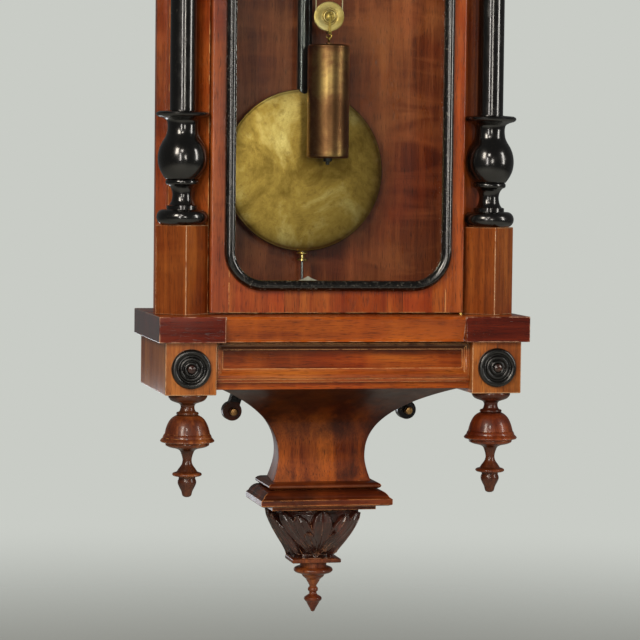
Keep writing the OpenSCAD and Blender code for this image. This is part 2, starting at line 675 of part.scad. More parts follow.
module opening_outline(grow = 0) round_rect(-stile_in - grow, ring_z0 + moulding_w / 2 - grow,
    stile_in + grow, ring_z1 - moulding_w / 2 + grow, opening_r + grow);

module door_rails() color(walnut) difference() {
    in_front(door_back_d) linear_extrude(door_t) difference() {
        union() {
            rect(-stile_in, door_gap, stile_in, ring_z0 + moulding_corner);
            rect(-stile_in, ring_z1 - moulding_corner, stile_in, case_h - door_gap);
        }
        opening_outline();
    }
    at_door_ends() translate([0, 0, door_gap]) hinge_plate();
}

// Cross section of the door moulding, flat side down
module half_round() {
    rect(-moulding_w / 2, 0, moulding_w / 2, moulding_foot);
    intersection() {
        translate([0, moulding_foot]) circle(moulding_w / 2);
        rect(-moulding_w, 0, moulding_w, 2 * moulding_w);
    }
}

module door_moulding() color(ebony) in_front(door_front_d) {
    x = ring_half_w - moulding_corner;
    z0 = ring_z0 + moulding_corner;
    z1 = ring_z1 - moulding_corner;
    for (s = [-1, 1]) translate([s * stile_in, z1, 0]) rotate([90, 0, 0]) linear_extrude(z1 - z0) half_round();
    for (z = [ring_z0 + moulding_w / 2, ring_z1 - moulding_w / 2])
        translate([-x, z, 0]) rotate([90, 0, 90]) linear_extrude(2 * x) half_round();
    for (c = [[x, z1, 0], [-x, z1, 90], [-x, z0, 180], [x, z0, 270]])
        translate([c[0], c[1], 0]) rotate(c[2]) rotate_extrude(angle = 90) translate([opening_r, 0]) half_round();
}

module door_glass() color(glass_tint) in_front(door_front_d - glass_t) linear_extrude(glass_t) opening_outline(-0.3);

// Turn latch in the left stile: its tongue stands upright when free and turns into the corner post
module door_latch() color(brass) {
    in_front(door_front_d) translate([-latch_x, latch_z, 0]) rotate_extrude() polygon(
        [[0, tongue_d - door_front_d], [latch_r, tongue_d - door_front_d], [latch_r, clear_gap], [4, clear_gap], [3, 4], [5.5, 8], [6.2, 11],
            [5, 13], [0, 14]]);
    in_front(tongue_d) translate([-latch_x, latch_z, 0]) linear_extrude(tongue_t) {
        circle(3.6, $fn = 32);
        rect(-tongue_w / 2, 0, tongue_w / 2, tongue_l);
    }
}
module latch_pocket() in_front(tongue_d - clear_gap) translate([-latch_x, latch_z, 0])
    cylinder(h = tongue_t + 2 * clear_gap, r = tongue_l + 2 * clear_gap);

// Inside fittings on the backboard

module beat_scale() color(enamel) in_front(back_t) translate([scale_x, 0, 0]) difference() {
    linear_extrude(2) polygon(concat([[-26, 29], [26, 29], [26, 31]],
        [for (i = [0:8]) let (t = i / 8) [26 - 26 * t, 31 + 7 * pow(t, 2.4)]],
        [for (i = [7:-1:0]) let (t = i / 8) [-26 + 26 * t, 31 + 7 * pow(t, 2.4)]]));
    for (x = [-20, 20]) translate([x, 30.4, -1]) cylinder(h = 4, r = 0.6);
}

module movement_bracket() color(blued) at_movement(back_t) {
    mirror_pair() {
        translate([bracket_x, -40, 0]) linear_extrude(4) round_rect(-7, -14, 7, 14, 5);
        translate([bracket_x, -40, 0]) cylinder(h = back_plate_d - back_t, r = 4);
        translate([bracket_x, 40, 0]) linear_extrude(4) round_rect(-7, -14, 7, 14, 5);
        translate([bracket_x, 40, 0]) cylinder(h = back_plate_d - back_t, r = 4);
    }
    linear_extrude(4) rect(-bracket_x, -44, bracket_x, -36);
}

// Movement

module plate_outline() round_rect(-plate_half_w, -plate_low, plate_half_w, plate_high, 8);

module back_plate() color(brass) at_movement(back_plate_d) difference() {
    linear_extrude(plate_t) plate_outline();
    for (p = [centre_pos, third_pos, escape_pos]) translate([p[0], p[1], -1]) cylinder(h = plate_t + 2, r = pivot_r + run_gap);
    translate([anchor_pos[0], anchor_pos[1], -1]) cylinder(h = plate_t + 2, r = arbor_r + run_gap);
    translate([barrel_pos[0], barrel_pos[1], -1]) cylinder(h = plate_t + 2, r = barrel_arbor_r + run_gap);
}

module front_plate() color(brass) at_movement(front_plate_d) {
    difference() {
        linear_extrude(plate_t) plate_outline();
        for (p = [third_pos, escape_pos, anchor_pos])
            translate([p[0], p[1], -1]) cylinder(h = plate_t + 2, r = pivot_r + run_gap);
        translate([0, 0, -1]) cylinder(h = plate_t + 2, r = arbor_r + run_gap);
        translate([barrel_pos[0], barrel_pos[1], -1]) cylinder(h = plate_t + 2, r = barrel_arbor_r + run_gap);
    }
    translate([gut_x, -hook_drop, gut_d - front_plate_d - 2.5]) cylinder(h = front_plate_d - gut_d + 2.5, r = 2);
    translate([motion_pos[0], motion_pos[1], plate_t]) cylinder(h = 7, r = 1.1);
}

module plate_pillars() color(brass) for (x = [-pillar_x, pillar_x], z = [-plate_low + 6.5, plate_high - 8])
    at_movement(back_plate_d + plate_t, [x, z]) rotate_extrude() polygon(concat(
        [[0, 0], [4.5, 0], [4.5, 3]], bead(3, 3, 4, 6, 4), [[3, 8], [3.4, plate_space / 2], [3, plate_space - 8]],
        bead(3, plate_space - 6, 4, plate_space - 3, 4), [[4.5, plate_space - 3], [4.5, plate_space], [0, plate_space]]));

module dial() color(enamel) at_movement(dial_d) {
    difference() {
        union() {
            linear_extrude(dial_t) circle(dial_r, $fn = 96);
            translate([0, 0, dial_t]) linear_extrude(0.8) difference() {
                circle(dial_r - 3, $fn = 96);
                circle(dial_r * 0.56, $fn = 96);
            }
        }
        translate([0, 0, -1]) cylinder(h = 5, r = 5);
        translate([0, -barrel_drop, -1]) cylinder(h = 5, r = 4.4);
    }
    for (p = dial_feet) translate([p[0], p[1], movement_front_d - dial_d]) cylinder(h = dial_d - movement_front_d, r = 2);
}

module dial_bezel() color(brass) at_movement(dial_d - 2) rotate_extrude($fn = 96) polygon(concat(
    [[dial_r + 0.2, 0], [dial_r + 7, 0], [dial_r + 7, 3]], ease([dial_r + 7, 3], [dial_r + 2.5, 8], 5),
    [[dial_r + 0.5, 8]], ease([dial_r, 7], [dial_r - 2, 5], 3), [[dial_r - 2, 2 + dial_t], [dial_r + 0.2, 2 + dial_t]]));

// A toothed wheel with a tooth at the angle toward
function gear_points(n, m, add, ded, tip, root, toward) = let (p = 180 / n) [for (i = [0:n - 1])
    let (a = toward + 2 * p * i, ro = m * (n / 2 + add), ri = m * (n / 2 - ded))
    each [ri * [cos(a - p * root), sin(a - p * root)], ro * [cos(a - p * tip), sin(a - p * tip)],
        ro * [cos(a + p * tip), sin(a + p * tip)], ri * [cos(a + p * root), sin(a + p * root)]]];
module wheel_outline(n, m, toward) polygon(gear_points(n, m, 0.85, 1.2, 0.15, 0.58, toward));
module pinion_outline(n, m, toward)
    polygon(gear_points(n, m, 0.55, 1.25, 0.22, 0.36, toward + 180 / n));
// Rim, arms and hub of a crossed out wheel
module crossed_wheel(n, m, toward, rim, hub, arms = 4) {
    r = m * (n / 2 - 1.2) - rim;
    difference() {
        wheel_outline(n, m, toward);
        circle(r, $fn = 64);
    }
    circle(hub, $fn = 48);
    for (i = [0:arms - 1]) rotate(360 / arms * i + 20) rect(0, -hub * 0.28, r + rim / 2, hub * 0.28);
}

module at_arbor(pos, d) at_movement(d, pos) children();

// Great wheel with the winding ratchet's click carried on its front
module great_wheel() color(brass) at_arbor(barrel_pos, great_wheel_d) difference() {
    union() {
        linear_extrude(2) difference() {
            crossed_wheel(great_teeth, great_mod, 90, 4, 12, 5);
            circle(barrel_arbor_r + run_gap, $fn = 48);
        }
        translate([click_pos[0], click_pos[1], 0]) cylinder(h = 2, r = 5);
        translate([click_pos[0], click_pos[1], 0]) cylinder(h = 4.6, r = 1.2);
        rotate(click_a) linear_extrude(2) rect(10, -2, 30, 2);
    }
}

module click() color(steel) at_arbor(barrel_pos, great_wheel_d + 2.3) translate([click_pos[0], click_pos[1], 0])
    difference() {
        linear_extrude(1.8) {
            circle(3, $fn = 32);
            rotate(click_a + 90) polygon([[0, -2.8], [6, -0.6], [10.4, 5], [10, 7.8], [8.8, 8.8], [7.2, 5.6], [4, 3.4], [0, 2.8]]);
        }
        translate([0, 0, -1]) cylinder(h = 4, r = 1.2 + run_gap);
    }

module barrel() color(brass) at_arbor(barrel_pos, 0) {
    d0 = great_wheel_d + 5.2;
    grooves = 8;
    step = (barrel_w - 4) / grooves;
    translate([0, 0, d0]) rotate_extrude() polygon(concat([[0, 0], [drum_r + 5, 0], [drum_r + 5, 2]],
        [for (i = [0:grooves - 1]) each arc([drum_r + 0.25, 2 + step * (i + 0.5)], 0.8, -120, -240, 4)],
        [[drum_r + 5, barrel_w - 2], [drum_r + 5, barrel_w], [0, barrel_w]]));
    translate([0, 0, great_wheel_d + 2.3]) linear_extrude(d0 - great_wheel_d - 2.3) polygon([for (i = [0:23])
        each [ratchet_r * [cos(15 * i), sin(15 * i)], (ratchet_r - 2) * [cos(15 * i + 1), sin(15 * i + 1)]]]);
    translate([0, 0, back_plate_d - 1]) cylinder(h = dial_d - back_plate_d, r = barrel_arbor_r);
    translate([0, 0, dial_d - 2]) linear_extrude(5.4) square(3.6, center = true);
}

// Centre arbor with its wheel, pinion and cannon
module centre_wheel() color(brass) {
    at_arbor(centre_pos, centre_wheel_d) linear_extrude(1.6)
        crossed_wheel(centre_teeth, centre_mod, bearing(centre_pos, third_pos), 2.6, 5);
    at_arbor(centre_pos, centre_wheel_d + 1.6) linear_extrude(7)
        pinion_outline(centre_leaves, great_mod, bearing(centre_pos, barrel_pos));
    at_arbor(centre_pos, back_plate_d) cylinder(h = plate_t + 1, r = pivot_r);
    at_arbor(centre_pos, centre_wheel_d + 8.6) cylinder(h = minute_d + 2 - centre_wheel_d - 8.6, r = arbor_r);
    at_arbor(centre_pos, movement_front_d + 1) linear_extrude(2.4)
        pinion_outline(cannon_leaves, cannon_mod, bearing(centre_pos, motion_pos));
}

module motion_wheel() color(brass) at_arbor(motion_pos, movement_front_d + 1) difference() {
    union() {
        linear_extrude(1.6) wheel_outline(minute_teeth, cannon_mod, bearing(motion_pos, centre_pos));
        translate([0, 0, 1.6]) linear_extrude(4.2) pinion_outline(minute_leaves, hour_mod, bearing(motion_pos, centre_pos));
    }
    translate([0, 0, -1]) cylinder(h = 9, r = 1.1 + run_gap);
}

module hour_wheel() color(brass) at_arbor(centre_pos, hour_wheel_d) difference() {
    union() {
        linear_extrude(1.6) wheel_outline(hour_teeth, hour_mod, bearing(centre_pos, motion_pos));
        cylinder(h = hour_d + 1.2 - hour_wheel_d, r = 3.4);
    }
    translate([0, 0, -1]) cylinder(h = 30, r = arbor_r + run_gap);
}

// Hands: a slim leaf on a straight shank, pointing up
module hand_outline(length, leaf) {
    rect(-0.9, 0, 0.9, length - leaf * 1.2);
    side = [for (i = [1:7]) let (t = i / 8) [leaf * 0.3 * sin(180 * pow(t, 0.8)), length - leaf * 1.6 * t]];
    polygon(concat([[0, length]], side, [[0, length - leaf * 1.6]], [for (i = [6:-1:0]) [-side[i][0], side[i][1]]]));
    rect(-1.2, -14, 1.2, 0);
}
module hour_hand() color(blued) at_movement(hour_d) difference() {
    linear_extrude(0.9) rotate(55.5) {
        circle(6, $fn = 40);
        hand_outline(dial_r * 0.52, 14);
    }
    translate([0, 0, -1]) cylinder(h = 4, r = 3.42);
}
module minute_hand() color(blued) at_movement(minute_d) difference() {
    linear_extrude(0.9) rotate(-54) {
        circle(4.5, $fn = 40);
        hand_outline(dial_r * 0.84, 12);
    }
    translate([0, 0, -1]) cylinder(h = 4, r = arbor_r + 0.02);
}

module third_wheel() color(brass) at_arbor(third_pos, 0) {
    translate([0, 0, third_wheel_d]) linear_extrude(1.6)
        crossed_wheel(third_teeth, third_mod, bearing(third_pos, escape_pos), 2.4, 4.4);
    translate([0, 0, centre_wheel_d - 0.4]) linear_extrude(3)
        pinion_outline(train_leaves, centre_mod, bearing(third_pos, centre_pos));
    translate([0, 0, centre_wheel_d + 2.6]) cylinder(h = front_plate_d - centre_wheel_d - 3, r = arbor_r);
    translate([0, 0, back_plate_d]) cylinder(h = plate_t + plate_space + plate_t, r = pivot_r);
}

module escape_wheel() color(brass) at_arbor(escape_pos, 0) {
    translate([0, 0, escape_wheel_d]) linear_extrude(1.4) {
        difference() {
            polygon([for (i = [0:escape_teeth - 1]) let (a = 360 / escape_teeth * i)
                each [(escape_r - 3) * [cos(a - 9.6), sin(a - 9.6)], (escape_r - 3) * [cos(a - 5), sin(a - 5)],
                    escape_r * [cos(a - 1), sin(a - 1)], escape_r * [cos(a), sin(a)]]]);
            circle(escape_r - 4.6, $fn = 64);
        }
        circle(3.6, $fn = 40);
        for (i = [0:3]) rotate(90 * i) rect(0, -1, escape_r - 4, 1);
    }
    translate([0, 0, third_wheel_d - 0.8]) linear_extrude(3.4)
        pinion_outline(train_leaves, third_mod, bearing(escape_pos, third_pos));
    translate([0, 0, back_in + 0.6]) cylinder(h = plate_space - 1.2, r = arbor_r);
    translate([0, 0, back_plate_d]) cylinder(h = plate_t + plate_space + plate_t, r = pivot_r);
}

// Anchor with its arbor and the crutch behind the back plate
module pallet_anchor() color(steel) {
    lean = bearing(escape_pos, anchor_pos);
    at_arbor(escape_pos, escape_wheel_d - 0.6) linear_extrude(2.6) {
        polygon(concat(arc([0, 0], escape_r + 5.4, lean - 47, lean + 47, 16), arc([0, 0], escape_r + 2.6, lean + 47, lean - 47, 16)));
        for (s = [-1, 1]) rotate(lean + s * 45) rect(escape_r + 1.4, -1.5, escape_r + 4, 1.5);
        rotate(lean) rect(escape_r + 4, -2.6, anchor_dist, 2.6);
    }
    at_arbor(anchor_pos, 0) {
        translate([0, 0, escape_wheel_d - 2]) cylinder(h = 5.4, r = 4);
        translate([0, 0, crutch_d]) cylinder(h = front_plate_d - crutch_d - 0.5, r = arbor_r);
        translate([0, 0, front_plate_d - 1]) cylinder(h = plate_t + 1, r = pivot_r);
        translate([0, 0, crutch_d]) linear_extrude(1.8) {
            circle(3.6, $fn = 40);
            rect(-1.6, -crutch_drop - 3, 1.6, 0);
        }
        translate([0, -crutch_drop, pend_d - rod_t / 2 - 1]) cylinder(h = crutch_d - pend_d + rod_t / 2 + 2, r = crutch_pin_r);
    }
}

// Pendulum

module at_suspension(d) in_front(d) translate([pend_x, suspension_z, 0]) children();

module suspension_bracket() {
    color(brass) difference() {
        union() {
            at_suspension(back_t) linear_extrude(3) round_rect(-11, -12, 11, 22, 4);
            for (s = [-1, 1]) at_suspension(back_t) translate([s * 6.5, susp_pin_up, 0])
                linear_extrude(pend_d - back_t + 5) rect(-2, -4, 2, 5);
        }
        at_suspension(pend_d) translate([-10, susp_pin_up, 0]) rotate([0, 90, 0])
            cylinder(h = 20, r = susp_pin_r + run_gap);
    }
    suspension_block();
}

// Pin and top block, which hang still in the bracket
module suspension_block() color(steel) {
    at_suspension(pend_d) translate([-9, susp_pin_up, 0]) rotate([0, 90, 0]) cylinder(h = 18, r = susp_pin_r);
    difference() {
        at_suspension(pend_d - 4) linear_extrude(8) rect(-4.1, block_low, 4.1, susp_pin_up + 4);
        at_suspension(pend_d - 5) linear_extrude(10) rect(-slot_half, block_low - 1, slot_half, susp_pin_up - susp_pin_r - 0.6);
    }
}

module suspension_spring() color(steel) {
    for (y = [-3, 1]) at_suspension(pend_d + y)
        linear_extrude(2) rect(-strip_t / 2, -rod_top + 8, strip_t / 2, susp_pin_up - susp_pin_r - 0.6 - clear_gap);
    at_suspension(pend_d - 4) linear_extrude(8) rect(-3.5, -rod_top, 3.5, -rod_top + 8);
}

module pendulum_rod() color(ebony) {
    difference() {
        in_front(pend_d - rod_t / 2) translate([pend_x, 0, 0]) linear_extrude(rod_t)
            rect(-rod_w / 2, rod_end, rod_w / 2, suspension_z - rod_top);
        in_front(0) translate([pend_x, dial_z + anchor_up - crutch_drop, 0])
            translate([0, 0, pend_d - rod_t]) linear_extrude(2 * rod_t) round_rect(-2, -7, 2, 7, 1.9);
    }
    placed() translate([pend_x, -pend_d, bob_z - bob_r - 32]) cylinder(h = rod_end - bob_z + bob_r + 32, r = 1.5);
}

module pendulum_bob() color(brass) difference() {
    in_front(pend_d) translate([pend_x, bob_z, 0]) rotate_extrude($fn = 128) polygon(concat(
        [[0, -bob_t / 2]], [[bob_r - 4, -bob_t / 2 + 3], [bob_r, -2], [bob_r, 2]],
        [for (i = [1:12]) let (t = i / 12) [bob_r * cos(90 * t), 2 + (bob_t / 2 - 2) * sin(90 * t)]]));
    in_front(pend_d - bob_t) translate([pend_x, bob_z, 0]) linear_extrude(bob_t + rod_t / 2)
        rect(-rod_w / 2 - 0.1, -bob_r * 0.62, rod_w / 2 + 0.1, bob_r + 1);
    placed() translate([pend_x, -pend_d, bob_z - bob_r - 1]) cylinder(h = bob_r, r = 1.8);
}

module rating_nut() color(brass) placed() translate([pend_x, -pend_d, bob_z - bob_r - 11.5]) rotate_extrude() polygon(
    [[1.5 + run_gap, 0], [5.5, 0], [6.5, 1], [6.5, 2.4], [3.4, 3.4], [3.4, 8], [6.5, 9], [6.5, 10.4], [5.5, 11.1], [1.5 + run_gap, 11.1]]);

// Weight

module weight() color(brass) {
    turned(0, gut_d, weight_z) polygon(concat([[0, 0], [weight_r - 1.5, 0], [weight_r, 1.5]],
        [[weight_r, weight_h - 1.5], [weight_r - 1.5, weight_h], [0, weight_h]]));
    turned_down(0, gut_d, weight_z) polygon([[0, 0], [5, 0], [5, 3.5], [2.4, 3.6], [2.4, 7], [0, 7.6]]);
    placed() translate([0, -gut_d, weight_z + weight_h]) difference() {
        union() {
            cylinder(h = 2.6, r = 4);
            translate([0, 0, eye_up]) rotate([90, 0, 0]) translate([0, 0, -1]) cylinder(h = 2, r = eye_r + 1.7);
        }
        translate([0, 0, eye_up]) rotate([90, 0, 0]) translate([0, 0, -3]) cylinder(h = 6, r = eye_r);
    }
}

// Stirrup with its axle and the hook that carries the weight's eye
module stirrup() color(brass) at_pulley() {
    for (s = [-1, 1]) translate([0, 0, s * (pulley_t / 2 + 1.2) - 0.6]) linear_extrude(1.2) {
        circle(5, $fn = 40);
        polygon([[-5, 0], [5, 0], [3.4, -pulley_r - 2.6], [-3.4, -pulley_r - 2.6]]);
    }
    translate([0, 0, -pulley_t / 2 - 2.4]) cylinder(h = pulley_t + 4.8, r = axle_r);
    translate([0, 0, -pulley_t / 2 - 1.8]) linear_extrude(pulley_t + 3.6)
        rect(-3.4, -pulley_r - 2.6, 3.4, -pulley_r - 1);
    translate([0, -hook_up, 0]) rotate([0, 90, 0]) rotate_extrude() translate([hook_r, 0]) circle(wire_r, $fn = 24);
}
module at_pulley() in_front(gut_d) translate([0, pulley_z, 0]) children();

module pulley() color(brass) at_pulley() translate([0, 0, -pulley_t / 2]) rotate_extrude() polygon(concat(
    [[axle_r + run_gap, 0], [5, 0], [5, 1], [pulley_r - 4, 1], [pulley_r - 4, 0.6], [pulley_r, 0.6], [pulley_r, 1.6]],
    [[drum_r, pulley_t / 2 - 0.9], [drum_r, pulley_t / 2 + 0.9]],
    [[pulley_r, pulley_t - 1.6], [pulley_r, pulley_t - 0.6], [pulley_r - 4, pulley_t - 0.6], [pulley_r - 4, pulley_t - 1]],
    [[5, pulley_t - 1], [5, pulley_t], [axle_r + run_gap, pulley_t]]));

// Gut line: two straight runs from the pulley up to the barrel and to the fixed stud
module gut_run(x, top) color("#c9b98f") placed() translate([x, -gut_d, pulley_z]) cylinder(h = top - pulley_z, r = gut_r, $fn = 24);
module gut_loop() color("#c9b98f") at_pulley() rotate(180) rotate_extrude(angle = 180) translate([gut_x, 0])
    circle(gut_r, $fn = 24);
module gut_barrel_run() gut_run(-gut_x, dial_z - barrel_drop);
module gut_fixed_run() gut_run(gut_x, dial_z - hook_drop - 2.3);

backboard();
corner_posts();
side_panels();
side_glasses();
case_boards();
column_blocks();
columns();
base_cornice();
base_frieze();
frieze_moulding();
base_blocks();
block_rosettes();
drop_finials();
corbel();
corbel_foot();
pendant();
wall_lugs();
upper_frieze();
upper_cornice();
crest();
top_finials();
hanger_plate();
hinge_pins();
beat_scale();
movement_bracket();
back_plate();
front_plate();
plate_pillars();
dial();
dial_bezel();
suspension_bracket();
gut_barrel_run();
gut_fixed_run();
gut_loop();
door_stiles();
door_rails();
door_moulding();
door_glass();
hinge_eyes();
door_latch();
levelling_screw_left();
levelling_screw_right();
centre_wheel();
minute_hand();
hour_wheel();
hour_hand();
motion_wheel();
third_wheel();
escape_wheel();
pallet_anchor();
great_wheel();
click();
barrel();
suspension_spring();
pendulum_rod();
pendulum_bob();
rating_nut();
weight();
stirrup();
pulley();
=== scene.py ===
import json
import random
from collections import namedtuple
from contextlib import contextmanager
from functools import partial
from math import copysign, cos, dist, exp, hypot, pi, radians, sin, sqrt

import bmesh
import bpy
from mathutils import Matrix, Vector


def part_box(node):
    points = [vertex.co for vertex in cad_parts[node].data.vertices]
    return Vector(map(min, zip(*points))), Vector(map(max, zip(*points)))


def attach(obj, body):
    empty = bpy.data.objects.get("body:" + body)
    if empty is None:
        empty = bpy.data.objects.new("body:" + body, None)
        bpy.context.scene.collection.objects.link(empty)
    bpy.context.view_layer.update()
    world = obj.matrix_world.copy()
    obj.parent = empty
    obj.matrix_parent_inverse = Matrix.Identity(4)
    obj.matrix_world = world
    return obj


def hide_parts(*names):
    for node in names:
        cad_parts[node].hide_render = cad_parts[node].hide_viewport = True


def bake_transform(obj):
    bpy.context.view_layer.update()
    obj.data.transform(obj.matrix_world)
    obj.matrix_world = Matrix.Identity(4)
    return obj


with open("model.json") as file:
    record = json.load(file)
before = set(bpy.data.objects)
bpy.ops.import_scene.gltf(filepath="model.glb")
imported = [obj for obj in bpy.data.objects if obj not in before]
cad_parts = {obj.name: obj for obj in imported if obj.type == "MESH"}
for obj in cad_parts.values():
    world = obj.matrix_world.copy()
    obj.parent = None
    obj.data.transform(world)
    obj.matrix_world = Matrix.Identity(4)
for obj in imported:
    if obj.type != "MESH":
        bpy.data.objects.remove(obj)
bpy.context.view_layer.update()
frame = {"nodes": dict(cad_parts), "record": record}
nodes = frame["nodes"]
scene = bpy.context.scene
scene.view_settings.view_transform = "Standard"
print("stage: frame loaded,", len(nodes), "nodes")

mm = 0.001
hangHeight = 819  # height of the hanging hole over the base cornice, in mm
nodeBox = namedtuple("nodeBox", "left right back front low high")


def at(x, depth, z):
    # x from the middle, depth from the wall, z from the top of the base cornice, all in mm
    return Vector((x * mm, -depth * mm, (z - hangHeight) * mm))


def measured(nodeName):
    # a node's box in the same mm
    low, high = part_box(nodeName)
    return nodeBox(low.x / mm, high.x / mm, -high.y / mm, -low.y / mm,
        low.z / mm + hangHeight, high.z / mm + hangHeight)


def linear(hexColour):
    # sRGB hex to the linear values that shaders take
    parts = [int(hexColour[i:i + 2], 16) / 255 for i in (1, 3, 5)]
    return [c / 12.92 if c <= 0.04045 else ((c + 0.055) / 1.055) ** 2.4 for c in parts] + [1.0]


def addNode(tree, kind, *inputs, out=None, stops=(), **named):
    # one node: the inputs go in order into the sockets in use, a named one goes to the socket with that name (fromMin
    # is From Min) or else is a setting, and a hex colour is turned linear; gives the output named or the first in use
    prefix = next(p for p in ("ShaderNode", "GeometryNode", "FunctionNode", "") if hasattr(bpy.types, p + kind))
    node = tree.nodes.new(prefix + kind)
    known = [socket.name.replace(" ", "").lower() for socket in node.inputs]
    for name, value in named.items():
        if name.lower() not in known:
            setattr(node, name, value)
    for i, (position, colour) in enumerate(stops):
        if i >= 2:
            node.color_ramp.elements.new(position)
        node.color_ramp.elements[i].position = position
        node.color_ramp.elements[i].color = linear(colour) if isinstance(colour, str) else [colour] * 3 + [1]
    inUse = [(name, socket) for name, socket in zip(known, node.inputs) if socket.enabled]
    pairs = [(socket, value) for (name, socket), value in zip(inUse, inputs)]
    pairs += [(dict(inUse[::-1])[name.lower()], value) for name, value in named.items() if name.lower() in known]
    for socket, value in pairs:
        if isinstance(value, bpy.types.NodeSocket):
            tree.links.new(value, socket)
        else:
            socket.default_value = linear(value) if isinstance(value, str) else value
    return node.outputs[out] if out else next((socket for socket in node.outputs if socket.enabled), node)


def newFinish(name, recipe, look):
    # a material whose recipe adds the nodes and gives the surface
    finish = bpy.data.materials.new(name)
    finish.use_nodes = True
    finish.node_tree.nodes.clear()
    add = partial(addNode, finish.node_tree)
    add("OutputMaterial", recipe(add, add("TexCoord", out="Object"), look))
    return finish


def rubbedArris(add, place, width, patchiness, spread):
    # 1 on sharp edges, broken into patches, where polish rubs through: the rounded normal is set against the true one
    rounded = add("Bevel", width * mm, samples=4)
    same = add("VectorMath", rounded, add("NewGeometry", out="Normal"), operation="DOT_PRODUCT")
    patches = add("TexNoise", place, patchiness, 5.0, 0.7)
    broken = add("ValToRGB", patches, stops=[(0.56 - spread, 0.0), (0.68 - spread, 1.0)])
    return add("Math", add("MapRange", same, 0.996, 0.93), broken, operation="MULTIPLY")


def walnut(add, place, look):
    # Sliced walnut veneer under French polish: long dark and light streaks with open pores that run with the grain,
    # a slow cathedral figure, patches where the shellac has reddened, and a soft shine, not a mirror
    log, seams = place, look.get("seams")
    if seams:
        # leaves of veneer: each leaf is cut from another part of the log
        shades = random.Random(7)
        leaf = add(
            "ValToRGB", add("MapRange", add("SeparateXYZ", place), seams[0] * mm, seams[-1] * mm),
            stops=[((seam - seams[0]) / (seams[-1] - seams[0]), shades.uniform(0.0, 1.0)) for seam in seams[:-1]])
        leaf.node.color_ramp.interpolation = "CONSTANT"
        log = add("VectorMath", place, add("VectorMath", leaf, 3.7, operation="SCALE"), operation="ADD")

    def grain(across, along, detail, roughness, wander=0.0):
        # noise drawn out along the grain
        scale = [along if axis == look["grain"] else across for axis in "xyz"]
        drawn = add("Mapping", log, scale=scale, location=look["shift"])
        return add("TexNoise", drawn, 1.0, detail, roughness, distortion=wander)

    streaks = grain(150, 5, 8, 0.62, 0.25)
    tone = -0.1
    for noise, share in (
            (grain(14, 1.8, 3, 0.5, 1.6), look["figure"]), (streaks, look["streaks"]), (grain(900, 26, 4, 0.7), 0.2)):
        tone = add("Math", noise, share, tone, operation="MULTIPLY_ADD")
    colour = add("ValToRGB", tone, stops=list(zip((0.3, 0.47, 0.66), look["tones"])))
    shimmer = add("ValToRGB", grain(9, 34, 3, 0.6, 0.6), stops=[(0.45, 0.0), (0.68, look["glow"])])
    reddened = add("ValToRGB", grain(7, 7, 3, 0.55, 0.3), stops=[(0.42, 0.0), (0.68, 0.7)])
    pores = add("ValToRGB", grain(1500, 80, 2, 0.5), stops=[(0.33, 0.65), (0.42, 0.0)])
    coats = [(shimmer, look["tones"][2], "MIX"), (reddened, look["polish"], "MULTIPLY")]
    if seams:
        coats.append((1.0, add("MapRange", leaf, toMin=0.72, toMax=1.08), "MULTIPLY"))
    coats.append((pores, look["pore"], "MIX"))
    if look.get("grime"):
        grime = add("ValToRGB", grain(26, 20, 6, 0.7, 0.4), stops=[(0.5, 0.0), (0.66, look["grime"])])
        coats.append((grime, "#1A0D08", "MIX"))
    if look.get("darkened"):
        # painted shade under an overhang: the wood darkens towards #140804 from the first height to the second
        low, high, amount = look["darkened"]
        low, high = [(z - hangHeight) * mm for z in (low, high)]
        paintedShadeMask = add(
            "MapRange", add("SeparateXYZ", place, out="Z"), low, high, toMax=amount, interpolation_type="SMOOTHSTEP")
        coats.append((paintedShadeMask, "#140804", "MIX"))
    if look["edge"]:
        coats.append((rubbedArris(add, place, look["edgeWidth"], 60, look["wear"]), look["edge"], "MIX"))
    for share, tint, blend in coats:
        colour = add("Mix", share, colour, tint, data_type="RGBA", blend_type=blend)
    shine = look["roughness"]
    roughness = add("MapRange", grain(30, 12, 5, 0.65, 0.5), 0.3, 0.7, shine - 0.07, shine + 0.12)
    height = add("Math", streaks, 0.35, pores, operation="MULTIPLY_ADD")
    bump = add("Bump", look["grainDepth"], 0.0004, height=height, invert=True)
    return add(
        "BsdfPrincipled", colour, roughness=roughness, normal=bump, ior=1.45, specularIorLevel=look["specular"],
        coatWeight=look["coat"], coatRoughness=0.1)


def ebonised(add, place, look):
    # Pearwood stained black under many coats of shellac: deep gloss with faint brush waves and rubbed brown arrises
    fine = add("TexNoise", add("Mapping", place, scale=(420, 420, 14)), 1.0, 5.0, 0.65)
    smear = add("TexNoise", place, 75.0, 4.0, 0.55, distortion=0.4)
    dust = add("TexNoise", place, 260.0, 4.0, 0.8)
    dust = add("ValToRGB", dust, stops=[(look["dustFrom"], 0.0), (0.78, look["dust"])])
    rubbed = rubbedArris(add, place, 1.0, 80, look["wear"])
    colour = "#030303"
    for share, tint in ((fine, "#0B0907"), (dust, "#8E887C"), (rubbed, look["edge"])):
        colour = add("Mix", share, colour, tint, data_type="RGBA")
    roughness = add("MapRange", smear, 0.35, 0.7, look["roughness"], look["roughness"] + 0.14)
    height = add("Math", fine, 0.12, smear, operation="MULTIPLY_ADD")
    bump = add("Bump", look["waves"], 0.0006, height=height)
    return add(
        "BsdfPrincipled", colour, roughness=roughness, normal=bump, ior=1.46, coatWeight=look["coat"],
        coatRoughness=0.13)


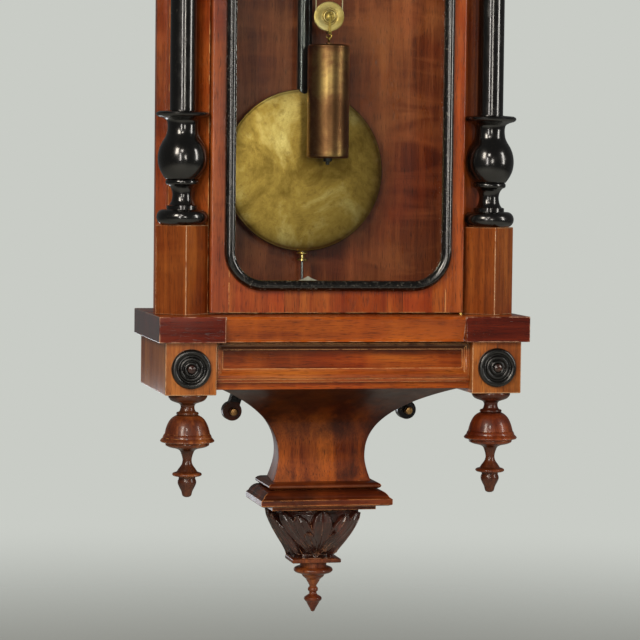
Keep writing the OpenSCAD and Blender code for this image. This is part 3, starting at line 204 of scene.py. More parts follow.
def agedBrass(add, place, look):
    # Cast and turned brass left to dull: olive and brown tarnish clouds over a yellow metal that was turned or brushed
    clouds = add("TexNoise", place, look["clouds"], 7.0, 0.66, distortion=0.5)
    spots = add("TexNoise", place, 150.0, 6.0, 0.72)
    if look.get("turnedOn"):
        # rings that the lathe left, round the piece's own axis
        centre, axis = look["turnedOn"]
        along = Vector([float(a == axis) for a in "xyz"])
        off = add("VectorMath", place, centre, operation="SUBTRACT")
        flat = add("VectorMath", off, Vector((1, 1, 1)) - along, operation="MULTIPLY")
        radius = add("VectorMath", flat, operation="LENGTH")
        rings = add("CombineXYZ", radius, add("VectorMath", off, along, operation="DOT_PRODUCT"))
        brushed = add("Mapping", rings, scale=(1500, 1500, 1500))
    else:
        brushed = add("Mapping", place, scale=(700, 700, 40))
    brushed = add("TexNoise", brushed, 1.0, 3.0, 0.6)
    lines = add("MapRange", brushed, 0.3, 0.7, 0.86, 1.08)
    stained = add("ValToRGB", spots, stops=[(0.52, 0.0), (0.68, look["spots"])])
    colour = add("ValToRGB", clouds, stops=list(zip((0.34, 0.5, 0.66), look["tones"])))
    for share, tint, blend in ((stained, look["tarnish"], "MIX"), (1.0, lines, "MULTIPLY")):
        colour = add("Mix", share, colour, tint, data_type="RGBA", blend_type=blend)
    roughness = add("MapRange", clouds, 0.3, 0.7, look["roughness"] + 0.14, look["roughness"])
    height = add("Math", spots, 0.4, brushed, operation="MULTIPLY_ADD")
    bump = add("Bump", look["scratch"], 0.0002, height=height)
    return add("BsdfPrincipled", colour, metallic=1.0, roughness=roughness, normal=bump)


def groundSteel(add, place, look):
    # Ground or blued steel: even colour with fine grinding lines
    lines = add("TexNoise", add("Mapping", place, scale=(900, 900, 60)), 1.0, 4.0, 0.6)
    clouds = add("TexNoise", place, 60.0, 5.0, 0.6)
    colour = add("Mix", clouds, *look["tones"], data_type="RGBA")
    roughness = add("MapRange", lines, toMin=look["roughness"] - 0.05, toMax=look["roughness"] + 0.12)
    bump = add("Bump", 0.1, 0.0002, height=lines)
    return add("BsdfPrincipled", colour, metallic=1.0, roughness=roughness, normal=bump)


def firedEnamel(add, place, look):
    # Vitreous enamel on copper: even warm white glass with a faint orange-peel surface
    colour = add("Mix", add("TexNoise", place, 20.0, 4.0), *look["tones"], data_type="RGBA")
    bump = add("Bump", 0.06, 0.0003, height=add("TexNoise", place, 300.0, 2.0))
    return add("BsdfPrincipled", colour, roughness=0.18, normal=bump, coatWeight=0.5, coatRoughness=0.05)


def windowGlass(add, place, look):
    # Drawn sheet glass: clear, a trace of green, waves that bend the reflections a little
    bump = add("Bump", 0.05, 0.002, height=add("TexNoise", place, 6.0, 2.0))
    gloss = add("BsdfAnisotropic", "#FFFFFF", 0.02, normal=bump)
    shown = add("Math", add("Fresnel", 1.45), look["mirror"], operation="MULTIPLY")
    return add("MixShader", shown, add("BsdfTransparent", look["clear"]), gloss)


def paintOrFibre(add, place, look):
    # Japan black, printed numerals and gut: dull or half matt, lightly mottled
    clouds = add("TexNoise", place, 90.0, 5.0, 0.6)
    colour = add("Mix", clouds, *look["tones"], data_type="RGBA")
    bump = add("Bump", 0.2, 0.0003, height=clouds)
    return add("BsdfPrincipled", colour, roughness=look["roughness"], normal=bump)


bobBox, weightBox, pulleyBox = measured("pendulum_bob"), measured("weight"), measured("pulley")
cordDepth, pulleyZ = (weightBox.back + weightBox.front) / 2, (pulleyBox.low + pulleyBox.high) / 2
bobMiddle = at((bobBox.left + bobBox.right) / 2, (bobBox.back + bobBox.front) / 2, (bobBox.low + bobBox.high) / 2)
woodUsual = dict(grain="z", polish="#D07A4C", pore="#180804", edge="#DCA468", edgeWidth=1.2, wear=0.1, shift=(0, 0, 0),
    figure=0.55, streaks=0.45, glow=0.25, roughness=0.3, specular=0.3, coat=0.25, grainDepth=0.16)
woodLooks = {  # tones from the dark streaks to the light ones; the painted shade band under an overhang goes from one height in mm to another
    "upright": dict(tones=["#351407", "#7C3813", "#AC5A26"]),
    "crossed": dict(grain="x", tones=["#381406", "#7C3810", "#AE6024"], wear=0.12, shift=(3, 1, 7)),
    # frame and frieze: painted shade along the top, under the cornice overhang
    "frame": dict(grain="x", tones=["#381406", "#7C3810", "#B46626"], wear=0.2, shift=(3, 1, 7),
        darkened=(-41, -35, 0.9)),
    "frieze": dict(grain="x", tones=["#3A1506", "#80380E", "#B86420"], edge=None, shift=(3, 5, 7), specular=0.2,
        darkened=(-48, -38, 0.75)),
    "doorRail": dict(tones=["#461A06", "#924010", "#C06A26"], polish="#D88050", pore="#1C0904", wear=0.14,
        shift=(3, 1, 7), seams=[-150, -127.4, -118, -62.7, 57.4, 74.7, 108.2, 130, 150]),
    "backboard": dict(tones=["#36120A", "#7A3A1C", "#B4683C"], polish="#C87050", edge=None, shift=(5, 2, 1),
        figure=0.72, streaks=0.34, glow=0.6),
    "plinth": dict(tones=["#40190A", "#7E3E14", "#AA6026"], polish="#D08050", pore="#1C0A05", edge="#E8C498", wear=0.2,
        shift=(7, 4, 6)),
    "block": dict(tones=["#4C210B", "#8C4A1A", "#BC7836"], polish="#D08A56", pore="#241008", edge="#E8C498", wear=0.2,
        shift=(9, 4, 2)),
    "cornice": dict(grain="x", tones=["#260904", "#6A270A", "#A85212"], polish="#C4562C", pore="#120503",
        edge="#D8A070", shift=(1, 6, 3), coat=0.3, roughness=0.22, specular=0.2, figure=0.95, streaks=0.14, glow=0.6),
    "corniceBlock": dict(grain="x", tones=["#1C0602", "#4C1407", "#78290E"], polish="#B04A20", pore="#120403",
        edge="#D8A888", wear=0.14, shift=(4, 2, 3), coat=1.0, roughness=0.12, edgeWidth=1.6),
    # corbel: painted shade towards the top, under the frieze
    "corbel": dict(tones=["#220B04", "#622810", "#AE5A1E"], polish="#B06440", pore="#120503", edge="#C98A50", wear=0.0,
        shift=(2, 8, 5), grime=0.6, coat=0.1, roughness=0.34, specular=0.2, figure=0.75, streaks=0.3,
        darkened=(-190, -85, 0.8)),
    "turned": dict(tones=["#240C05", "#5E2A12", "#9C5A2A"], polish="#D08C58", pore="#1C0A04", edge="#B87C48", wear=0.05,
        shift=(4, 4, 9), roughness=0.36, coat=0.3, grainDepth=0.02),
    # painted shade: a darker turned finish for the necks, stems and head of the drops
    "turnedShade": dict(tones=["#1A0804", "#45200F", "#74401E"], polish="#C08058", pore="#140703", edge="#9C6438",
        wear=0.05, shift=(4, 4, 9), roughness=0.32, coat=0.3, grainDepth=0.02),
    "carved": dict(tones=["#0C0503", "#2C130B", "#54261A"], polish="#A07050", pore="#0A0504", edge="#C48A68", wear=0.06,
        roughness=0.26, shift=(6, 3, 2), coat=0.5, edgeWidth=0.9, specular=0.5),
    "foot": dict(grain="x", tones=["#1C0904", "#52220C", "#94481A"], polish="#B06440", pore="#120503", edge="#D08A50",
        wear=0.16, shift=(2, 8, 5), grime=0.5, coat=0.2, edgeWidth=1.4),
}
brassUsual = dict(tarnish="#80602C", clouds=26.0, spots=0.25, scratch=0.12)
brassLooks = {
    "bob": dict(tones=["#86692C", "#BC9A4C", "#ECD286"], roughness=0.34, clouds=15.0, spots=0.5,
        turnedOn=(bobMiddle, "y")),
    "weight": dict(tones=["#50321F", "#80593A", "#AC8C58"], tarnish="#603420", roughness=0.33, clouds=16.0, spots=0.3,
        turnedOn=(at(0, cordDepth, weightBox.low), "z"), scratch=0.04),
    "bright": dict(tones=["#9A7C38", "#C8AA5C", "#E0C88A"], roughness=0.24, spots=0.3),
    "pulleyBrass": dict(tones=["#B89C58", "#DCC482", "#F0E2B0"], tarnish="#8A6C38", roughness=0.26,
        turnedOn=(at(0, (pulleyBox.back + pulleyBox.front) / 2, pulleyZ), "y")),
    "plate": dict(tones=["#8A6F30", "#B6964A", "#CDB06A"], roughness=0.3),
}
blackUsual = dict(dustFrom=0.62, waves=0.3, coat=0.5)
otherLooks = {
    "black": ("ebonisedPearwood", ebonised, dict(blackUsual, edge="#5A4030", wear=-0.05, roughness=0.14, dust=0.25)),
    "blackTurned": ("ebonisedPearwood_turned", ebonised, dict(blackUsual, edge="#4A3428", wear=-0.02, roughness=0.24,
        dust=0.3, waves=0.05, coat=0.2)),
    "blackWorn": ("ebonisedPearwood_worn", ebonised, dict(blackUsual, edge="#B8946A", wear=0.1, roughness=0.16,
        dust=0.6, dustFrom=0.56)),
    "steel": ("groundSteel", groundSteel, dict(tones=["#7E8186", "#A9ACB0"], roughness=0.3)),
    "blued": ("bluedSteel", groundSteel, dict(tones=["#12162A", "#1F2A4A"], roughness=0.2)),
    "iron": ("blackJapan", paintOrFibre, dict(tones=["#0D0D0D", "#1B1A18"], roughness=0.4)),
    "ink": ("firedBlackPaint", paintOrFibre, dict(tones=["#0B0B0B", "#161513"], roughness=0.3)),
    "enamel": ("firedEnamel", firedEnamel, dict(tones=["#F6F3E8", "#E9E4D4"])),
    "glass": ("drawnSheetGlass", windowGlass, dict(clear="#F6F9F7", mirror=0.4)),
    "gut": ("twistedGut", paintOrFibre, dict(tones=["#B09A70", "#E4D8B8"], roughness=0.42)),
}
finishes = {key: newFinish("polishedWalnut_" + key, walnut, {**woodUsual, **look}) for key, look in woodLooks.items()}
for key, look in brassLooks.items():
    finishes[key] = newFinish("agedBrass_" + key, agedBrass, {**brassUsual, **look})
for key, (name, recipe, look) in otherLooks.items():
    finishes[key] = newFinish(name, recipe, look)
print("stage: finishes made")

slotFinish = {
    "walnut": "upright", "walnut_dark": "cornice", "carved_wood": "carved", "ebonised": "black", "brass": "plate",
    "weight_brass": "weight", "steel": "steel", "blued_steel": "blued", "black_iron": "iron", "enamel": "enamel",
    "glass": "glass", "gut": "gut"}
nodesOfFinish = {
    "backboard": ["backboard"], "crossed": ["case_boards", "upper_frieze", "crest"], "plinth": ["column_blocks"],
    "frieze": ["base_frieze"], "frame": ["frieze_moulding"], "block": ["base_blocks"], "corbel": ["corbel"],
    "turned": ["drop_finials", "top_finials"], "foot": ["corbel_foot"], "cornice": ["upper_cornice"],
    "doorRail": ["door_rails"], "bob": ["pendulum_bob"], "pulleyBrass": ["pulley"], "upright": ["corner_posts"],
    "bright": ["stirrup", "door_latch", "dial_bezel", "rating_nut"],
    "weight": ["levelling_screw_left", "levelling_screw_right"]}
nodeFinish = {nodeName: key for key, members in nodesOfFinish.items() for nodeName in members}
slotOf = {s["node"]: s["material_slot"] for s in frame["record"]["subparts"]}
bodyOf = {n: body for body, members in frame["record"]["behaviour"]["bodies"].items() for n in members}


def finishFor(nodeName):
    return finishes[nodeFinish.get(nodeName, slotFinish[slotOf[nodeName]])]


for nodeName, cadNode in nodes.items():
    cadNode.data.materials.clear()
    cadNode.data.materials.append(finishFor(nodeName))
print("stage: every node has its finish")


# Profiles: lists of (radius or reach, height) in mm
def arc(centre, radius, start, end, steps=10):
    turns = [radians(start + (end - start) * i / steps) for i in range(steps + 1)]
    return [(centre[0] + radius * cos(a), centre[1] + radius * sin(a)) for a in turns]


def ease(a, b, steps=12):
    # S-shaped stretch
    return [(a[0] + (b[0] - a[0]) * (1 - cos(pi * i / steps)) / 2, a[1] + (b[1] - a[1]) * i / steps)
        for i in range(steps + 1)]


def bead(a, b, steps=14):
    # half-round swelling that reaches out to b's radius between the two heights
    return [(a[0] + (b[0] - a[0]) * sin(pi * i / steps), (a[1] + b[1]) / 2 - (b[1] - a[1]) / 2 * cos(pi * i / steps))
        for i in range(steps + 1)]


def smooth(points, steps=4):
    # a soft curve through the points given
    ends = [points[0]] + list(points) + [points[-1]]
    line = []
    for a, b, c, d in zip(ends, ends[1:], ends[2:], ends[3:]):
        for i in range(steps):
            f = i / steps
            line.append(tuple(0.5 * (2 * b[k] + (c[k] - a[k]) * f + (2 * a[k] - 5 * b[k] + 4 * c[k] - d[k]) * f ** 2
                + (3 * b[k] - a[k] - 3 * c[k] + d[k]) * f ** 3) for k in (0, 1)))
    return line + [tuple(points[-1])]


# Meshes and pieces
def linked(name, data):
    thing = bpy.data.objects.new(name, data)
    scene.collection.objects.link(thing)
    return thing


@contextmanager
def editing(mesh, source=None):
    # a bmesh of the mesh, or of another one, that is written into the mesh at the end
    build = bmesh.new()
    build.from_mesh(source or mesh)
    yield build
    build.to_mesh(mesh)
    build.free()


def faceOut(mesh):
    with editing(mesh) as build:
        bmesh.ops.recalc_face_normals(build, faces=build.faces)


def modified(data, kind, inputs=None, **settings):
    # the mesh that one modifier makes of the data, which is used up
    scratch = linked("scratch", data)
    modifier = scratch.modifiers.new("scratch", kind)
    for name, value in settings.items():
        setattr(modifier, name, value)
    for name, value in (inputs or {}).items():
        modifier[name] = value
    bpy.context.view_layer.update()
    mesh = bpy.data.meshes.new_from_object(scratch.evaluated_get(bpy.context.evaluated_depsgraph_get()))
    bpy.data.objects.remove(scratch)
    (bpy.data.curves if isinstance(data, bpy.types.Curve) else bpy.data.meshes).remove(data)
    return mesh


def newTree(name, **wanted):
    # a Geometry Nodes tree with these inputs, the function that adds its nodes, and its input sockets
    tree = bpy.data.node_groups.new(name, "GeometryNodeTree")
    for key, kind in {"Geometry": "Geometry", **wanted, "Finish": "Material"}.items():
        tree.interface.new_socket(key, in_out="INPUT", socket_type="NodeSocket" + kind)
    tree.interface.new_socket("Geometry", in_out="OUTPUT", socket_type="NodeSocketGeometry")
    return tree, partial(addNode, tree), tree.nodes.new("NodeGroupInput").outputs


def closeTree(add, geometry, given):
    add("NodeGroupOutput", add("SetMaterial", add("RealizeInstances", geometry), material=given["Finish"]))


def grown(tree, data, finish, **values):
    # what a tree makes of the curve or mesh given
    values["Finish"] = finishes[finish]
    inputs = {item.identifier: values[item.name] for item in tree.interface.items_tree
        if item.in_out == "INPUT" and item.name in values}
    return modified(data, "NODES", inputs, node_group=tree)


def polyline(points, cyclic):
    curve = bpy.data.curves.new("line", "CURVE")
    curve.dimensions = "3D"
    line = curve.splines.new("POLY")
    line.points.add(len(points) - 1)
    for spot, (x, y) in zip(line.points, points):
        spot.co = (x, y, 0, 1)
    line.use_cyclic_u = cyclic
    return curve


def joined(meshes):
    # several meshes as one, each keeping its own finishes
    whole, kept = bpy.data.meshes.new("joined"), []
    with editing(whole) as build:
        for mesh in meshes:
            first = len(build.faces)
            build.from_mesh(mesh)
            build.faces.ensure_lookup_table()
            kept += [material for material in mesh.materials if material not in kept]
            for face in build.faces[first:]:
                face.material_index = kept.index(mesh.materials[face.material_index])
    for material in kept:
        whole.materials.append(material)
    return whole


def cutFrom(mesh, tool):
    # takes the tool's shape out of the mesh
    faceOut(mesh)
    faceOut(tool)
    cutter = linked("cutter", tool)
    left = modified(mesh, "BOOLEAN", operation="DIFFERENCE", solver="EXACT", object=cutter)
    bpy.data.objects.remove(cutter)
    return left


def addPiece(name, mesh, stands=(), body=None, sharp=38):
    # a finished piece in place of its CAD nodes, smooth but for the edges that turn more than the angle given
    faceOut(mesh)
    mesh.shade_smooth()
    mesh.set_sharp_from_angle(angle=radians(sharp))
    mesh = modified(mesh, "WEIGHTED_NORMAL", keep_sharp=True, weight=100)
    mesh.name = name
    piece = linked(name, mesh)
    if stands:
        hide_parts(*stands)
    if body != "":
        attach(piece, body or bodyOf[stands[0]])
    return piece


def easedCopy(nodeName, width):
    # the CAD form with its arrises eased, as no real edge is knife sharp
    mesh = bpy.data.meshes.new("eased")
    with editing(mesh, nodes[nodeName].data) as build:
        bmesh.ops.remove_doubles(build, verts=build.verts, dist=1e-6)
        bmesh.ops.dissolve_limit(build, angle_limit=radians(0.5), verts=build.verts, edges=build.edges)
    mesh = modified(mesh, "BEVEL", width=width * mm, segments=2, limit_method="ANGLE", angle_limit=radians(30))
    mesh.materials.clear()
    mesh.materials.append(finishFor(nodeName))
    return mesh


def addEased(name, nodeName, width):
    addPiece(name, easedCopy(nodeName, width), [nodeName])


def paintWhere(mesh, finish, inside):
    # a second finish on the faces whose centre, in mm, passes the test
    mesh.materials.append(finishes[finish])
    for face in mesh.polygons:
        c = face.center
        if inside(c.x / mm, -c.y / mm, c.z / mm + hangHeight):
            face.material_index = len(mesh.materials) - 1


def loft(rings, finish, closed=False):
    # skin over rings of as many points each, points (x, depth, z) in mm; closed when the last ring meets the first
    mesh = bpy.data.meshes.new("loft")
    with editing(mesh) as build:
        made = [[build.verts.new(at(*p)) for p in ring] for ring in rings]
        for low, high in zip(made, made[1:] + made[:1] if closed else made[1:]):
            for i in range(len(low)):
                j = (i + 1) % len(low)
                build.faces.new((low[i], low[j], high[j], high[i]))
        if not closed:
            build.faces.new(made[0])
            build.faces.new(made[-1])
    mesh.materials.append(finishes[finish])
    return mesh


# A lathe: the profile is swept round a circle, and its points on the axis meet
latheTree, add, given = newTree("turnedOnLathe", Segments="Int")
swept = add("CurveToMesh", add("CurvePrimitiveCircle", given["Segments"], radius=1.0), given["Geometry"])
closeTree(add, add("MergeByDistance", swept, distance=2e-6), given)
facings = {"up": Matrix.Identity(4), "down": Matrix.Rotation(pi, 4, "X"), "out": Matrix.Rotation(pi / 2, 4, "X")}


def turned(profile, place, facing, finish, segments=72, cyclic=False):
    # cyclic for a ring, whose profile closes on itself
    curve = polyline([(r * mm - 1, -h * mm) for r, h in profile], cyclic)
    mesh = grown(latheTree, curve, finish, Segments=segments)
    mesh.transform(Matrix.Translation(place) @ facings[facing])
    return mesh


def rectangleStack(profile, half, depth, finish):
    # a moulding that runs round the front and both sides
    return loft([[(-half - p, 0, z), (-half - p, depth + p, z), (half + p, depth + p, z), (half + p, 0, z)]
        for p, z in profile], finish)


print("stage: helpers ready")

# Base of the case
base = dict(cornerEase=0.7, blockEase=0.9, returnWidth=9.5, blockInset=28.4, dropInset=21.8)
friezeBox, baseBlocks = measured("base_frieze"), measured("base_blocks")
blockX, blockZ = baseBlocks.right - base["blockInset"], (baseBlocks.low + baseBlocks.high) / 2
dropDepth = baseBlocks.front - base["dropInset"]
cornice = easedCopy("base_cornice", base["cornerEase"])
paintWhere(cornice, "corniceBlock", lambda x, d, z: abs(x) > friezeBox.right - base["returnWidth"])
addPiece("corniceOfBase", cornice, ["base_cornice"])
addEased("lowerBlocks", "base_blocks", base["blockEase"])
addEased("plinthBlocks", "column_blocks", base["blockEase"])
addEased("friezePanel", "base_frieze", 0.5)

friezeFrame = dict(lowerWider=1.7,  # section as (distance in from the frame's edge, how far it stands out)
    section=[(0, -1.5), (0, 3.4), (0.9, 4.2), (2.2, 4.4), (2.6, 5.6), (3.4, 6.0), (4.6, 5.9), (5.6, 5.0),
        (6.3, 3.6), (7.0, 2.4), (8.0, 1.8), (9.0, 1.5), (9.0, -1.5)])
frameBox = measured("frieze_moulding")
rings = []
for inset, out in friezeFrame["section"]:
    x, depth, high = friezeBox.right - inset, friezeBox.front + out, frameBox.high - inset
    low = frameBox.low + friezeFrame["lowerWider"] * inset
    rings.append([(x, depth, high), (-x, depth, high), (-x, depth, low), (x, depth, low)])
addPiece("friezeMoulding", loft(rings, "frame", closed=True), ["frieze_moulding"], sharp=50)

rosette = dict(radius=22, boss=0.205, segments=96)
reach = rosette["radius"]
rosetteProfile = [(0, -0.5), (reach, -0.5), (reach, 1.4)] + arc((reach - 3.4, 2.0), 3.3, -10, 165, 12) \
    + arc((reach * 0.665, 3.2), reach * 0.07, 200, 340, 6)[::-1] + arc((reach * 0.52, 3.0), reach * 0.085, 20, 170, 8) \
    + arc((reach * 0.405, 2.9), reach * 0.035, 200, 340, 5)[::-1] + arc((reach * 0.3, 3.1), reach * 0.075, 20, 170, 8) \
    + [(reach * 0.215, 3.2), (reach * 0.2, 5.0)] + ease((reach * 0.19, 5.2), (reach * 0.08, 6.5), 5) + [(0, 6.8)]
discs = []
for x in (-blockX, blockX):
    discs.append(turned(rosetteProfile, at(x, baseBlocks.front, blockZ), "out", "blackTurned", rosette["segments"]))
    paintWhere(discs[-1], "carved", lambda px, pd, pz: hypot(px - x, pz - blockZ) < reach * rosette["boss"])
addPiece("rosettes", joined(discs), ["block_rosettes"])

# Drops under the blocks, and the finial that hangs from its plate under the pendant
drop = dict(segments=88, darkRadius=13, darkHead=7)
dropProfile = [(0, 0), (21.4, 0)] \
    + smooth([(21.4, 0.2), (21.7, 1.8), (21.2, 3.8), (18.4, 7), (13.6, 9), (9.6, 10.4), (8, 12.4), (7.7, 15), (8.5, 18),
    (9.8, 19.6)], 3) + bead((11.2, 19.9), (12.4, 23), 6) \
    + smooth([(12.6, 23.4), (16.4, 25.7), (19.4, 28.8), (21.5, 32.4), (23.1, 36.2), (24.3, 40.2), (25, 43)]) \
    + [(25.2, 43.6), (24.8, 44), (25.6, 44.4), (26.6, 46), (27.1, 47.7), (26.8, 48.1)] \
    + smooth([(27.4, 48.4), (28.6, 49.5), (29.8, 51), (29.9, 51.8), (29, 52.7)], 3) \
    + [(25.6, 53.3), (24.2, 54), (24.4, 55.4)] \
    + smooth([(23.8, 56.6), (20, 58.4), (13, 60), (8.6, 62), (6.8, 65.4), (5.4, 70), (5.1, 74), (6.2, 78), (9, 82),
    (11.4, 85.6)], 3) + bead((13.4, 86.6), (16.4, 90.6), 8) \
    + smooth([(9.4, 91.6), (9.2, 93.4), (10.2, 96), (10.1, 99), (8.4, 103), (6.2, 107.4), (5.4, 110.6), (4.4, 112.8),
    (2.2, 113.9)], 3) + [(0, 114)]
endPlate = dict(half=28.9, depth=42.5, thick=5,
    arris=[(0, 1.2), (-0.5, 0.3), (-1.3, 0), (-3.7, 0), (-4.5, 0.3), (-5, 1.2)])
finial = dict(depth=23, segments=64, drawnHeight=60)
pendantBox = measured("pendant")
plateTop = pendantBox.low
finialTop = plateTop - endPlate["thick"]
finialScale = (finialTop - measured("drop_finials").low) / finial["drawnHeight"]
finialProfile = [(r, h * finialScale) for r, h in [(0, 0), (15.5, 0), (15.5, 4.6)] + bead((15.5, 6), (23, 14))
    + ease((13, 16), (7.6, 23)) + [(4.2, 28.5), (4.2, 30)] + bead((4.2, 30.5), (6, 36)) + [(4.4, 37.5)]
    + ease((4.4, 38), (10.4, 43.5)) + ease((10.4, 44.5), (7.2, 49.5)) + [(4, 55), (2, 59), (0, 60)]]
drops = []
for x in (-blockX, blockX):
    drops.append(turned(dropProfile, at(x, dropDepth, baseBlocks.low), "down", "turned", drop["segments"]))
    # painted shade on the narrow necks and stems near the axis and on the head just under the block
    paintWhere(drops[-1], "turnedShade", lambda px, pd, pz: hypot(px - x, pd - dropDepth) < drop["darkRadius"]
        or pz > baseBlocks.low - drop["darkHead"])
drops.append(turned(finialProfile, at(0, finial["depth"], finialTop), "down", "turned", finial["segments"]))
drops.append(rectangleStack([(-inset, plateTop + z) for z, inset in endPlate["arris"]], endPlate["half"],
    endPlate["depth"], "turned"))
addPiece("dropsAndFinial", joined(drops), ["drop_finials"])

# Corbel: concave on three sides down to a waist, then it flares a little
corbel = dict(sections=64, arris=1.4, waistAt=0.76, waistHalf=50.9, waistDepth=62.5, flareHalf=6.7,
    flareDepth=4, backIn=10)
corbelBox, footBox = measured("corbel"), measured("corbel_foot")
waistAt, waistHalf, waistDepth = [corbel[key] for key in ("waistAt", "waistHalf", "waistDepth")]
rings = []
for i in range(corbel["sections"] + 1):
    t, e = i / corbel["sections"], corbel["arris"]
    sink, flare = max(0, waistAt - t) / waistAt, max(0, t - waistAt) / (1 - waistAt)
    w = waistHalf + (corbelBox.right - waistHalf) * sink ** 2.3 + corbel["flareHalf"] * flare ** 1.6
    d = waistDepth + (corbelBox.front - waistDepth) * sink ** 3.2 + corbel["flareDepth"] * flare ** 1.6
    b, z = w - corbel["backIn"] * (1 - t * 0.4), corbelBox.high + (corbelBox.low - corbelBox.high) * t
    rings.append([(-b, 0, z), (-w, d - e, z), (-w + e * 0.3, d - e * 0.3, z), (-w + e, d, z), (w - e, d, z),
        (w - e * 0.3, d - e * 0.3, z), (w, d - e, z), (b, 0, z)])
addPiece("corbelBlock", loft(rings, "corbel"), ["corbel"])

foot = dict(reach=24)
footProfile = [(5, 0)] + bead((5, 0), (13, 8), 16) + [(9, 9)] + arc((9, 22), 13, -90, -25, 14) \
    + [(23, 18), (23.6, 18.3), (24, 19), (24, 24.4), (23.4, 25.2), (20, 26.5), (9, 27.5), (8, 28.2), (8, 32)]
footProfile = [(r - foot["reach"], footBox.high - h) for r, h in footProfile]
addPiece("corbelMouldings", rectangleStack(footProfile, footBox.right, footBox.front,
    "foot"), ["corbel_foot"], sharp=30)
print("stage: base built")

# Carved pendant: leaves stand out of a bulging body
carving = dict(columns=260, rows=150, high=8.4, low=5.6, squareness=0.62, fineSteps=1200, window=12,
    form=[(53, 69, 0), (54, 71.5, 0.12), (52.5, 72, 0.24), (49, 69.5, 0.37),  # half width, depth, way down
        (44.5, 64, 0.51), (39, 56.5, 0.66), (33.5, 48, 0.8), (29.5, 41.5, 0.92), (28, 39, 1)],
    leaves=[  # foot and tip along the front, height of foot and tip, bend, half width, how high it stands
        (0, 0, 0.9, 0.04, 1.0, 0.13, 1.0), (0.03, 0.27, 0.9, 0.12, 0.7, 0.11, 0.9),
        (0.12, 0.47, 0.86, 0.06, 0.7, 0.13, 0.75), (0.36, 0.68, 0.93, 0.14, 0.8, 0.11, 0.9),
        (0.56, 0.86, 0.93, 0.08, 0.8, 0.11, 0.8), (0.76, 0.98, 0.93, 0.2, 0.8, 0.08, 0.7),
        (0.04, 0.17, 0.86, 0.46, 0.8, 0.08, 1.08)])


def formAt(v):
    for low, high in zip(carving["form"], carving["form"][1:]):
        if v <= high[2]:
            t = (v - low[2]) / (high[2] - low[2])
            return [low[i] + (high[i] - low[i]) * t for i in (0, 1)]
    return carving["form"][-1][:2]


def relief(u, v):
    # height of the carving: lapped acanthus leaves, each with a raised rim and a vein down its middle
    best = 0.0
    for footU, tipU, footV, tipV, bend, wide, high in carving["leaves"]:
        t = (footV - v) / (footV - tipV)
        if not 0 <= t <= 1:
            continue
        middle = footU + (tipU - footU) * t ** bend
        w = wide * min(1.0, 0.45 + t * 1.1) * sqrt(max(0.0, 1 - max(0.0, (t - 0.62) / 0.38) ** 2))
        s = abs(abs(u) - middle) / max(w, 1e-4)
        if s < 1:
            rim, vein = exp(-((s - 0.74) / 0.2) ** 2), exp(-(s / 0.1) ** 2)
            best = max(best, high * (sqrt(1 - s ** 4) * (0.62 + 0.12 * t) + 0.3 * rim + 0.22 * vein))
    if v > 0.8:
        best += 0.5 * exp(-((hypot(u * 1.05, (v - 0.8) * 0.5) - 0.07) / 0.014) ** 2)
    return best


def ringOfForm(w, d):
    # points round the front half of a squared oval, evenly spaced, each with its outward direction
    n, window, power = carving["fineSteps"], carving["window"], carving["squareness"]
    angles = [pi * (i / n - 0.5) for i in range(n + 1)]
    fine = [(w * copysign(abs(sin(a)) ** power, a), d * max(0.0, cos(a)) ** power) for a in angles]
    runs = [0.0]
    for a, b in zip(fine, fine[1:]):
        runs.append(runs[-1] + dist(a, b))
    ring, k = [], 0
    for i in range(carving["columns"] + 1):
        goal = runs[-1] * i / carving["columns"]
        while k < n - 1 and runs[k + 1] < goal:
            k += 1
        f = (goal - runs[k]) / max(runs[k + 1] - runs[k], 1e-9)
        a, b = fine[max(k - window, 0)], fine[min(k + window + 1, n)]
        size = dist(a, b)
        ring.append((fine[k][0] + (fine[k + 1][0] - fine[k][0]) * f, fine[k][1] + (fine[k + 1][1] - fine[k][1]) * f,
            (a[1] - b[1]) / size, (b[0] - a[0]) / size))
    return ring


rings = []
for j in range(carving["rows"] + 1):
    v = j / carving["rows"]
    z = pendantBox.high + (pendantBox.low - pendantBox.high) * v
    ring = []
    for i, (x, y, nx, ny) in enumerate(ringOfForm(*formAt(v))):
        u = 2 * i / carving["columns"] - 1
        fade = min(1.0, (1 - abs(u)) * 20) * min(1.0, v * 14 + 0.15) * min(1.0, (1 - v) * 16)
        h = (carving["high"] * relief(u, v) - carving["low"]) * fade
        ring.append((x + h * nx, max(0.0, y + h * ny), z))
    rings.append(ring)
addPiece("carvedPendant", loft(rings, "carved"), ["pendant"], sharp=60)
print("stage: pendant carved")

# Levelling lugs: black arms whose lower ends are rubbed to raw wood
lug = dict(ease=0.8, rawHeight=9.5, slant=0.12)
lugRaw = measured("wall_lugs").low + lug["rawHeight"]
lugs = easedCopy("wall_lugs", lug["ease"])
with editing(lugs) as build:
    bmesh.ops.bisect_plane(build, geom=build.verts[:] + build.edges[:] + build.faces[:], plane_co=at(0, 0, lugRaw),
        plane_no=(lug["slant"], 0, 1))
paintWhere(lugs, "corbel", lambda x, d, z: z < lugRaw - lug["slant"] * x)
addPiece("levellingLugs", lugs, ["wall_lugs"])

